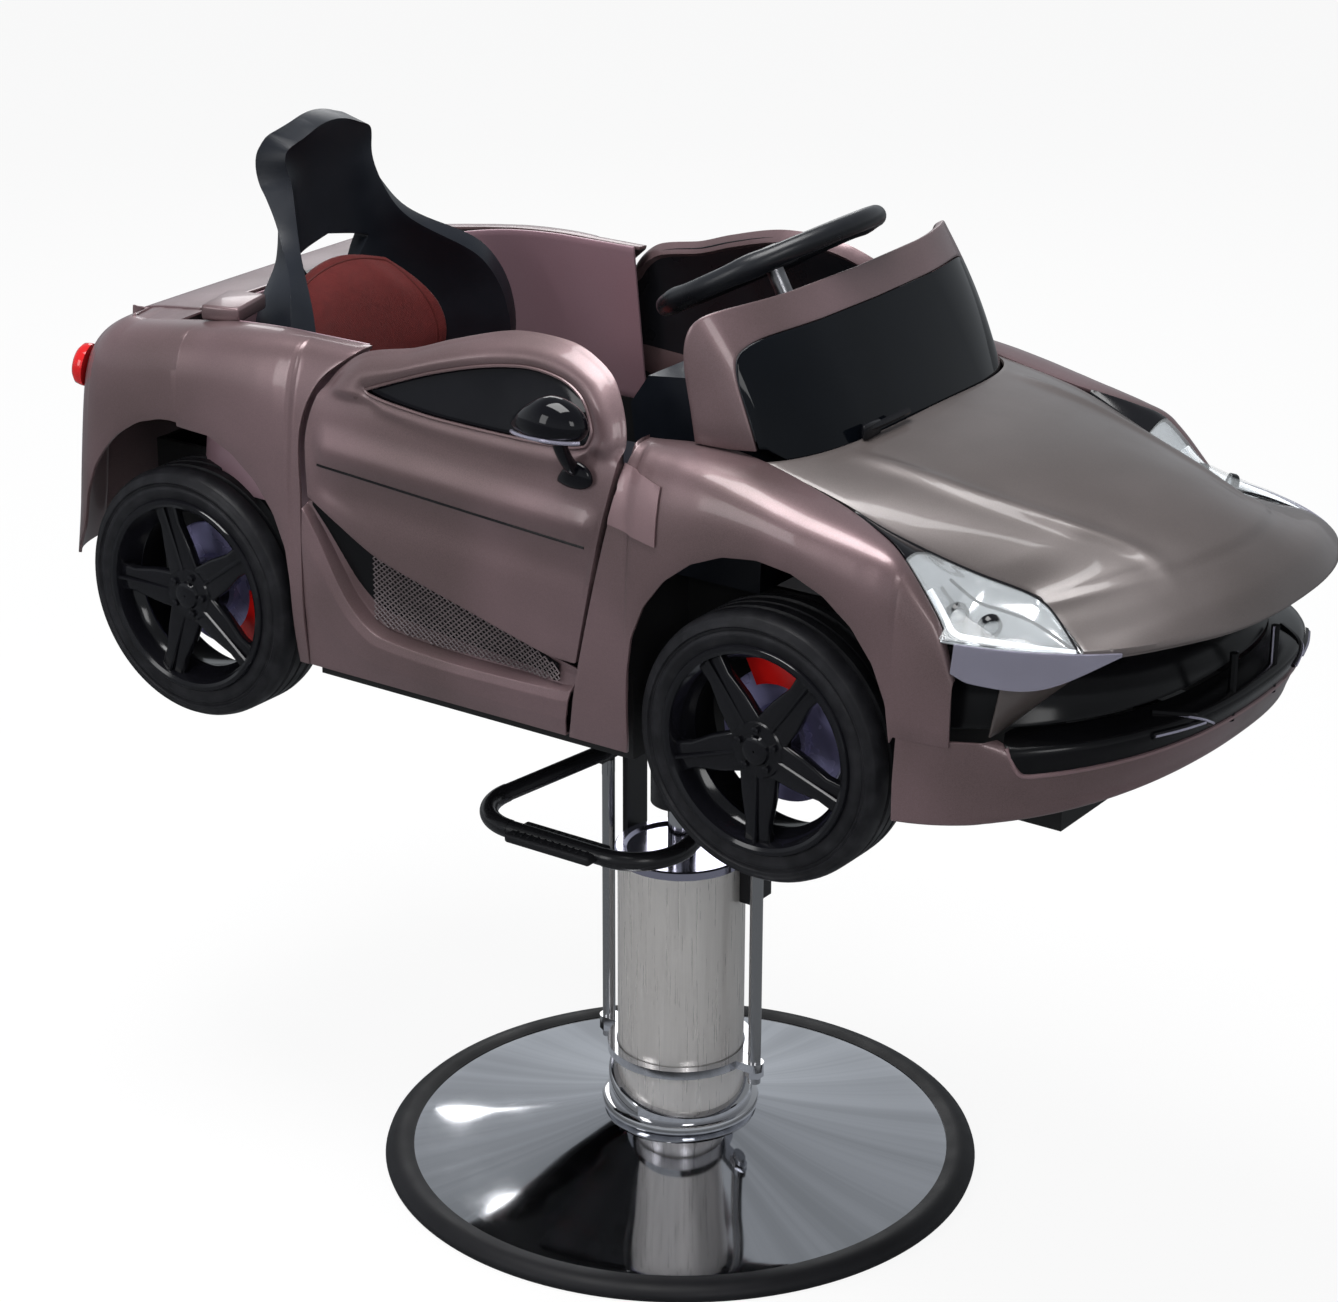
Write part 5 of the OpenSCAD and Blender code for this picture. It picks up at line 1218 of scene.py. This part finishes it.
# Mirrors: a drop-shaped pod with a bright strip, its glass, and a foot on the door

POD = (SIDE_X + 28, yy(0.478), zz(0.985))


def ball(size, spot, tail, seg):
    """A drop-shaped ball, slimmer and lower towards its rear and flatter below its middle."""
    fresh()
    bpy.ops.mesh.primitive_uv_sphere_add(segments=seg, ring_count=seg // 2, radius=1)
    piece = bpy.context.object
    for vert in piece.data.vertices:
        x, y, z = vert.co
        back = clamp(y)
        slim = 1 - 0.45 * back ** 1.5
        flat = 0.72 if z < 0 else 1.0
        vert.co = Vector((x * size[0] * slim, y * size[1] + tail * back,
                          z * size[2] * slim * flat - 6 * back ** 1.5)) * MM
    piece.data.transform(at(spot))
    return piece


def from_pod(x, y, z):
    return POD[0] + x, POD[1] + y, POD[2] + z


def pod_edge(t):
    back = clamp(sin(t))
    return from_pod(20 * cos(t) * (1 - 0.3 * back), 38 * sin(t) + 4 * back, -9 - 4 * back)


pod = ball((21, 37, 25), POD, 6, 40)
glass = plate([(13 * cos(2 * pi * i / 32), 10 * sin(2 * pi * i / 32)) for i in range(32)], 1.5, 0.4)
glass.data.transform(at(from_pod(-12, 22, 2)) @ spun(-25, "Z") @ spun(-90, "X"))
strip = rod_along([pod_edge(t) for t in steps(-1.2, 1.25, 12)], 1.8, 8)
stalk = rod_along([from_pod(-6, -2, -14), from_pod(-14, -2, -36), (SIDE_X - 4, POD[1] - 2, POD[2] - 52)],
                  6.5, 16)
foot = ball((7, 19, 15), (SIDE_X - 4, POD[1] - 1, POD[2] - 57), 0, 28)
pod = joined([pod, stalk, foot])
for side, flip in SIDES:
    ride = "door_" + side
    finish_piece(copy_of(pod, flip), "mirror_pod_" + side, GLOSS_BLACK, ride,
                 ["mirror_" + side], 50)
    finish_piece(copy_of(glass, flip), "mirror_glass_" + side, CHROME, ride)
    finish_piece(copy_of(strip, flip), "mirror_strip_" + side, SILVER_TRIM, ride)
drop(pod, glass, strip)


# Scoops in the sills: a dark recess and a sheet with diamond holes

def scoop_wall(y, z, out=0.0):
    return SIDE_X - SEAM - 15 * curve(SCOOP_IN, along(y)) - SKIN + out, y, z


def scoop_low(y):
    return zz(curve(SCOOP_LIP, along(y))) + SKIN


def scoop_top(y):
    return zz(curve(DOOR_LOW, along(y))) - DOOR_GAP


def recess(u, v):
    y = lerp(yy(0.672), yy(0.735), u)
    return scoop_wall(y, lerp(scoop_low(y) + 2, scoop_top(y) - 1, v), 1.2)


finish_piece(laid(recess, 20, 12, -1, 1, True, 0), "scoop_recesses", DUCT_BLACK, "car")


def mesh_sheet():
    """Diamond holes in rows, kept where they lie inside the sheet's three-cornered outline."""
    work = bmesh.new()
    pitch, rise, deep = 6.4, 5.2, 3.5
    y0, y1 = yy(0.497), yy(0.679)
    rows, cols = 44, int((y1 - y0) / pitch) * 2
    made = {}

    def vert(key, y, z):
        if key not in made:
            made[key] = work.verts.new(Vector((scoop_wall(y, z, deep)[0], y, z)) * MM)
        return made[key]
    for i in range(cols):
        for j in range(rows):
            if (i + j) % 2:
                continue
            y, z = y0 + i * pitch / 2, zz(0.14) + j * rise / 2
            ring = [(i - 1, j), (i, j - 1), (i + 1, j), (i, j + 1)]
            spots = [(y - pitch / 2, z), (y, z - rise / 2), (y + pitch / 2, z), (y, z + rise / 2)]
            if all(scoop_low(a) + 1 < b < scoop_top(a) - 1 and a < y1 + 2 for a, b in spots):
                work.faces.new([vert(k, *spot) for k, spot in zip(ring, spots)])
    data = bpy.data.meshes.new("sheet")
    work.to_mesh(data)
    work.free()
    piece = bpy.data.objects.new("sheet", data)
    bpy.context.scene.collection.objects.link(piece)
    modifier(piece, "WIREFRAME", thickness=1.7 * MM, use_even_offset=False, use_boundary=True)
    return piece


def scoop_back(u, v):
    y = lerp(yy(0.497), yy(0.68), u)
    return scoop_wall(y, lerp(scoop_low(y) + 1, scoop_top(y) - 1, v), 1.2)


diamonds = mesh_sheet()
finish_piece(joined([copy_of(diamonds, MIRROR), diamonds]), "scoop_mesh_sheets", SMOKE_GREY, "car",
             ["scoop_grilles"], 0)
finish_piece(laid(scoop_back, 30, 8, -1, 1, True, 0), "scoop_backs", DUCT_BLACK, "car")

# Windscreen, its vent and the cover over the dashboard
finish_piece(laid(pane_frame, 120, 14, 1, 9, False, 2.0), "windscreen_surround", PAINT, "car",
             ["windshield_frame"])
finish_piece(laid(pane, 70, 24, -1, 3, False, 0.4), "windscreen_pane", SCREEN, "car",
             ["windshield_glass"])


def dash_top(u, v):
    a = 2 * u - 1
    front = screen_at(0.7 * a, 0.06)
    x = lerp(front[0] * 0.98, a * xx(0.655), ease(v * 2))
    y = lerp(front[1] + 6, yy(0.43) + 6, v)
    return x, y, lerp(front[2], zz(1.055) + 1.5, ease(v * 1.1)) - 22 * abs(a) ** 6 * ease(v * 2)


finish_piece(laid(dash_top, 40, 24, -1, 2, False, 0.8), "dashboard_cover", BLACK_PLASTIC, "car")
wiper = [rod_along([(x, screen_y(x, LOW_MID, LOW_DEEP) - 4, zz(0.95) - abs(x + 50) * 0.05)
                    for x in (-112, -92, -72, -52)], 3.2, 10),
         block((26, 6, 14), (-104, screen_y(-104, LOW_MID, LOW_DEEP) - 3, zz(0.935)), 2.5)]
finish_piece(joined(wiper), "windscreen_vent", LAMP_DARK, "car")


# The seat: a shell of two skins with a window through its neck, and two padded cushions

def double_skin(front, back, nu, nv):
    face, rear = sheet(front, nu, nv), sheet(back, nu, nv)
    mesh_edit(face, turn_over)
    piece = joined([face, rear])
    mesh_edit(piece, bridge, face_out)
    return piece


def domed(surface):
    """The head's top edge rounded down towards its sides."""
    def lowered(u, v):
        x, y, z = surface(u, v)
        return x, y, z - 7 * abs(2 * u - 1) ** 2 * ease((v - 0.9) / 0.1)
    return lowered


seat_piece = double_skin(domed(seat_front), domed(seat_back), 60, 110)
HOLE = [(-56, 11), (0, 0), (56, 11), (38, 34), (-38, 34)]
hole = plate([(x, -z) for x, z in HOLE], 130, 5, 4)
hole.data.transform(at((0, yy(0.95), zz(1.078))) @ spun(90, "X"))
modifier(seat_piece, "BOOLEAN", object=hole, operation="DIFFERENCE", solver="EXACT")
drop(hole)
modifier(seat_piece, "BEVEL", width=5 * MM, segments=4, limit_method="ANGLE", angle_limit=radians(55))
finish_piece(seat_piece, "seat_bucket", BLACK_PLASTIC, "car", ["seat_shell"], 50)


def pad_face(low, high, waist, lift):
    def surface(u, v):
        a, b = 2 * u - 1, 2 * v - 1
        a, b = a * sqrt(1 - 0.34 * b * b), b * sqrt(1 - 0.3 * a * a)
        return seat(a * 0.78 * (1 - waist * b * b), lerp(low, high, (b + 1) / 2), lift)
    return surface


def pad_top(face, thick):
    def surface(u, v):
        a, b = 2 * u - 1, 2 * v - 1
        full = thick * (1 - 0.82 * abs(a) ** 5) * (1 - 0.82 * abs(b) ** 5)
        full *= 1 + 0.05 * sin(9 * a + 4 * b * b) * abs(b) ** 3 + 0.04 * sin(11 * b + 3 * a) * abs(a) ** 3
        return Vector(face(u, v)) + full * across(face, u, v)
    return surface


PAD_RUN = [i / 14 for i in range(14)]
PIPING_LINE = ([(0.03 + 0.94 * t, 0.03) for t in PAD_RUN] + [(0.97, 0.03 + 0.94 * t) for t in PAD_RUN]
               + [(0.97 - 0.94 * t, 0.97) for t in PAD_RUN] + [(0.03, 0.97 - 0.94 * t) for t in PAD_RUN])
for name, low, high, waist, thick in (("seat_back_cushion", 0.44, 0.735, 0.12, 26),
                                      ("seat_base_cushion", 0.02, 0.33, 0.08, 34)):
    face = pad_face(low, high, waist, 1.7)
    top = pad_top(face, thick)
    cushion = double_skin(top, face, 56, 56)
    modifier(cushion, "BEVEL", width=3.5 * MM, segments=4, limit_method="ANGLE", angle_limit=radians(45))
    piping = rod_along([top(u, v) - 1.2 * across(face, u, v) for u, v in PIPING_LINE], 1.6, 8, True)
    finish_piece(cushion, name, RED_CLOTH, "car", [name.replace("cushion", "pad")], 60)
    finish_piece(piping, name + "_piping", PIPING, "car")


# Steering wheel: a soft rim with thumb grips, three spokes and a boss

def on_shaft(piece):
    piece.data.transform(at((0, STEER_Y, STEER_Z)) @ spun(-STEER_TILT, "X"))
    return piece


def wheel_rim():
    fresh()
    bpy.ops.mesh.primitive_torus_add(major_radius=0.1, minor_radius=0.01, major_segments=120,
                                     minor_segments=24)
    rim_piece = bpy.context.object
    for vert in rim_piece.data.vertices:
        way = atan2(vert.co.y, vert.co.x)
        flat = Vector((cos(way), sin(way), 0))
        middle = flat * 0.103
        grip = 1 + 0.16 * bump(abs(abs(way) - pi / 2), pi / 2 - 0.45, 0.16) + 0.02 * sin(way * 60)
        vert.co = middle + (vert.co - flat * 0.1) * grip * 0.98
    return rim_piece


parts = [wheel_rim()]
for turn in (0, 180, 270):
    arm = plate([(-13, 18), (13, 18), (9, 60), (13, 99), (-13, 99), (-9, 60)], 9, 3, 3)
    arm.data.transform(spun(turn, "Z") @ at((0, 0, -6.5)))
    parts.append(arm)
parts.append(turned([(1, -9), (22, -9), (30, -5), (31, 3), (26, 8), (12, 10), (1, 10)], 56))
steer = on_shaft(joined(parts))
finish_piece(steer, "steering_wheel_rim", SATIN_BLACK, "steering", ["steering_wheel"], 45)
button = on_shaft(turned([(1, 10), (14, 10), (15, 11), (12, 13), (1, 13.4)], 40))
finish_piece(button, "steering_horn_cap", GLOSS_BLACK, "steering")

# Tail lights
lens = turned([(0.5, 14.4), (9, 14), (16, 12.4), (20.2, 9), (21.2, 4), (21.2, 0.5), (0.5, 0.5)], 48)
lens.data.transform(at(tail_at(35, zz(0.745), 2.6)) @ spun(-19, "Z") @ spun(-81, "X"))
for side, flip in SIDES:
    finish_piece(copy_of(lens, flip), "tail_lens_" + side, RED_LENS, "car",
                 ["tail_lights"] if flip is None else (), 50)
drop(lens)

# Small step on the deck behind the seat
step = block((58, 40, 15), (-186, 392, 866), 3, spun(14, "Z"), 3)
finish_piece(step, "deck_step", PAINT, "car")


# Wheels

TYRE_PROFILE = [(97, 2), (104, 1), (108, 0.6), (109.5, 2.4), (111.5, 2.4), (113, 0.8), (117, 1.6),
                (118.4, 3.4), (120.4, 3.6), (121.5, 5), (123.6, 9), (124.8, 14), (125, 20), (121.5, 22),
                (121.5, 24), (125, 26), (125, 35), (121.5, 36), (121.5, 38), (125, 39), (125, 48),
                (121.5, 50), (121.5, 52), (125, 54), (124.8, 60), (123.6, 65), (121.5, 69), (120.4, 70.4),
                (118.4, 70.6), (117, 72.4), (113, 73.4), (111.5, 71.6), (109.5, 71.6), (108, 73.4),
                (104, 73.6), (97, 72), (97, 37)]
RIM_PROFILE = [(97, 1), (97, 73), (95.5, 75.4), (92, 75.8), (89, 74), (87.5, 70), (86, 60), (82, 54),
               (78, 50), (78, 46), (86, 30), (91, 1)]
tyre, rim = turned(TYRE_PROFILE, 120, "X"), turned(RIM_PROFILE, 120, "X")


def face_on(piece, turn):
    """From the drawing plane to the wheel's outer face: +X of the drawing goes to +Y of the car."""
    piece.data.transform(Matrix(((0, 0, 1, 0), (1, 0, 0, 0), (0, 1, 0, 0), (0, 0, 0, 1))) @ spun(turn, "Z"))
    return piece


def spider():
    parts = []
    for turn in range(0, 360, 72):
        outline = [(20, -19), (46, -17), (70, -12.5), (90, -14.5), (90, 14.5), (70, 12.5), (46, 17), (20, 19)]
        spoke = plate(outline, 11, 3.2, 3)
        spoke.data.transform(spun(turn, "Z") @ at((0, 0, 57)))
        rib = rod_along([(24, 0, 68.2), (50, 0, 68.6), (88, 0, 70.5)], 2.1, 10)
        rib.data.transform(spun(turn, "Z"))
        parts += [spoke, rib]
    parts.append(turned([(1, 40), (27, 40), (28, 66), (25, 69.5), (14, 70), (12.5, 72.6), (9, 74), (1, 74)],
                        48))
    for turn in range(36, 396, 72):
        nut = turned([(0.5, 68), (3.6, 68), (3.6, 72.6), (2.4, 73.6), (0.5, 73.6)], 12)
        nut.data.transform(at((19 * dcos(turn), 19 * dsin(turn), 0)))
        parts.append(nut)
    return joined(parts)


hub_face = spider()
disc = turned([(8, 22), (60, 22), (62, 23), (62, 27), (60, 28), (30, 28), (28, 34), (8, 34)], 72, "X")
for side, flip in SIDES:
    for end, y, turn in (("front", FRONT_AXLE, -90), ("rear", REAR_AXLE, 0)):
        ride, tail = "wheel_" + end + "_" + side, end + "_" + side
        place = at((WHEEL_IN, y, AXLE_Z))
        if flip is not None:
            place = flip @ place
        finish_piece(copy_of(tyre, place), "tyre_tread_" + tail, TYRE, ride, ["tyre_" + tail], 50)
        spokes = face_on(copy_of(hub_face), turn)
        wheel = joined([copy_of(rim, place), copy_of(spokes, place)])
        drop(spokes)
        finish_piece(wheel, "rim_spokes_" + tail, RIM_BLACK, ride, ["rim_" + tail], 35)
        finish_piece(copy_of(disc, place), "brake_disc_" + tail, LAVENDER, ride)
drop(tyre, rim, hub_face, disc)


# The stand

COVER = [(0, 1), (0.3, 0.62), (0.65, 0.27), (1, 0)]
cover_top = [(lerp(66.5, 266, t), 14.2 + 42 * curve(COVER, t)) for t in steps(0, 1, 24)]
cover_line = cover_top + [(269, 13.6), (271, 13.2), (271.5, 12.4)]
cover_line += [(r, z - 1.6) for r, z in reversed(cover_top)]
finish_piece(turned(cover_line, 160), "base_plate_cover", PLATE_CHROME, "stand", ["base_cover"], 40)
ring = [(271, 0), (294, 0), (299, 1.5), (300, 4.5), (298.5, 9), (295, 12.6), (288, 15.8), (280, 16),
        (274, 14.4), (271, 13.8)]
finish_piece(turned(ring, 160), "base_rubber_ring", RUBBER, "stand", ["base_rim"], 60)
sleeve = [(63.5, 54), (63.5, 327), (62.8, 329.4), (61.6, 330), (61, 329), (61, 54)]
finish_piece(turned(sleeve, 128), "column_tube", COLUMN_STEEL, "stand", ["column_sleeve"], 40)


def slant(piece, low, slope):
    """The top of a ring lowered towards the front, as a socket cut on the slant."""
    for vert in piece.data.vertices:
        if vert.co.z * 1000 > low:
            front = -(vert.co.y * 1000 + vert.co.x * 700) / 90
            vert.co.z -= slope * clamp(front + 0.55, 0, 1.6) * (vert.co.z * 1000 - low) / 44 * MM
    return piece


collar = turned([(63.6, 58), (72, 58), (72.6, 60), (72.6, 96), (71, 99.4), (66, 100), (63.6, 99)], 96)
foot_ring = turned([(63.6, 55), (76, 55), (79, 57), (79.6, 60.5), (78, 64), (73, 65.6), (63.6, 65)], 96)
finish_piece(joined([slant(collar, 66, 24), foot_ring]), "column_socket", CHROME, "stand",
             ["column_collar"], 45)

# Foot pad on the pump lever
pad_piece = block((38, 98, 9), (0, 0, 0), 3, segments=4)
pad_at = nodes["lever_pad"]
corners = [pad_at.matrix_world @ v.co for v in pad_at.data.vertices]
low_x, high_x = min(c.x for c in corners), max(c.x for c in corners)
low_z, high_z = min(c.z for c in corners), max(c.z for c in corners)
ribs = [block((30, 2.4, 1.6), (0, -40 + 8 * i, 4.6), 0.6) for i in range(11)]
pad_piece = joined([pad_piece] + ribs)
pad_piece.data.transform(Matrix.Translation(((low_x + high_x) / 2, 0, (low_z + high_z) / 2 - 0.0005)))
finish_piece(pad_piece, "foot_pad", RUBBER, "lever", ["lever_pad"], 40)

for material, names in (
        (IRON, ["base_weight"]),
        (STEEL, ["pump_cylinder", "plate_bolts", "rear_axle", "tie_rod", "steering_shaft"]),
        (HEAD_CHROME, ["cylinder_head"]),
        (CHROME, ["pump_crosshead", "piston_rod"]),
        (ROD_STEEL, ["push_rods"]),
        (TUB_BLACK, ["chassis_tub"]),
        (BLACK_PLASTIC, ["dashboard"]),
        (RED_PLASTIC, ["rear_calipers", "front_caliper_left", "front_caliper_right"]),
        (BLACK_METAL, ["lever_bracket", "pump_lever", "swivel_hub", "mounting_frame", "front_axle",
                       "knuckle_left", "knuckle_right", "door_hinges"])):
    for name in names:
        nodes[name].data.materials.clear()
        nodes[name].data.materials.append(material)


# Camera, floor and light

def look(eye, target, roll):
    forward = (Vector(target) - Vector(eye)).normalized()
    turn = forward.to_track_quat("-Z", "Y").to_matrix().to_4x4()
    return Matrix.Translation(eye) @ turn @ Matrix.Rotation(radians(roll), 4, "Z")


PHOTO_WIDTH, FOCAL = 1338, 3517.8
camera = bpy.data.objects.new("camera", bpy.data.cameras.new("camera"))
bpy.context.scene.collection.objects.link(camera)
camera.data.sensor_width = 36
camera.data.lens = 36 * FOCAL / PHOTO_WIDTH
camera.matrix_world = look((-2.600, -1.789, 1.793), (0.0805, 0.0722, 0.5014), 0.2208)
bpy.context.scene.camera = camera

fresh()
bpy.ops.mesh.primitive_plane_add(size=60)
floor = bpy.context.object
floor.name = "studio_floor"


class Shade(Finish):
    """A node tree of plain shaders, chosen by the kind of ray that meets it."""

    def __init__(self, tree, kind):
        self.tree = tree
        self.tree.nodes.clear()
        self.out = self.tree.nodes.new(kind)

    def seen(self, *kinds):
        rays = [self.node("ShaderNodeLightPath", out="Is " + kind + " Ray") for kind in kinds]
        total = rays[0]
        for ray in rays[1:]:
            total = total.sum("MAXIMUM", ray)
        return total

    def blend(self, factor, first, second):
        mix = self.node("ShaderNodeMixShader", {}, factor, first, second)
        self.tree.links.new(mix.socket, self.out.inputs[0])


paper = bpy.data.materials.new("studio_paper")
paper.use_nodes = True
shade = Shade(paper.node_tree, "ShaderNodeOutputMaterial")
matt = shade.node("ShaderNodeBsdfDiffuse", {}, (0.82, 0.82, 0.82))
glow = shade.node("ShaderNodeEmission", {}, (1, 1, 1), 1.03)
mirror_glow = shade.node("ShaderNodeEmission", {}, (0.9, 0.95, 1.0), FLOOR_IN_GLOSS)
plain = shade.node("ShaderNodeMixShader", {}, shade.seen("Glossy"), matt, mirror_glow)
shade.blend(shade.seen("Camera", "Transmission") * 0.88, plain, glow)
floor.data.materials.append(paper)

world = bpy.data.worlds.new("studio")
bpy.context.scene.world = world
world.use_nodes = True
shade = Shade(world.node_tree, "ShaderNodeOutputWorld")
rise = shade.split(shade.node("ShaderNodeTexCoord", out="Generated"), 2)
seen_sky = shade.node("ShaderNodeBackground", {}, (1, 1, 1), 1.0)
gloss_sky = shade.node("ShaderNodeBackground", {}, (0.9, 0.95, 1.0), rise.fade(0.0, 0.75, SKY_LOW, SKY_HIGH))
plain_sky = shade.node("ShaderNodeBackground", {}, (0.93, 0.96, 1.0), WORLD_LEVEL)
inner = shade.node("ShaderNodeMixShader", {}, shade.seen("Glossy"), plain_sky, gloss_sky)
shade.blend(shade.seen("Camera", "Transmission"), inner, seen_sky)


def softbox(name, spot, size, watts):
    light = bpy.data.lights.new(name, "AREA")
    light.shape = "RECTANGLE"
    light.size, light.size_y = size
    light.energy = watts
    obj = bpy.data.objects.new(name, light)
    bpy.context.scene.collection.objects.link(obj)
    obj.matrix_world = look(spot, (0, 0, 0.6), 0)


for light_row in LIGHTS:
    softbox(*light_row)
bpy.context.scene.view_settings.view_transform = "Standard"
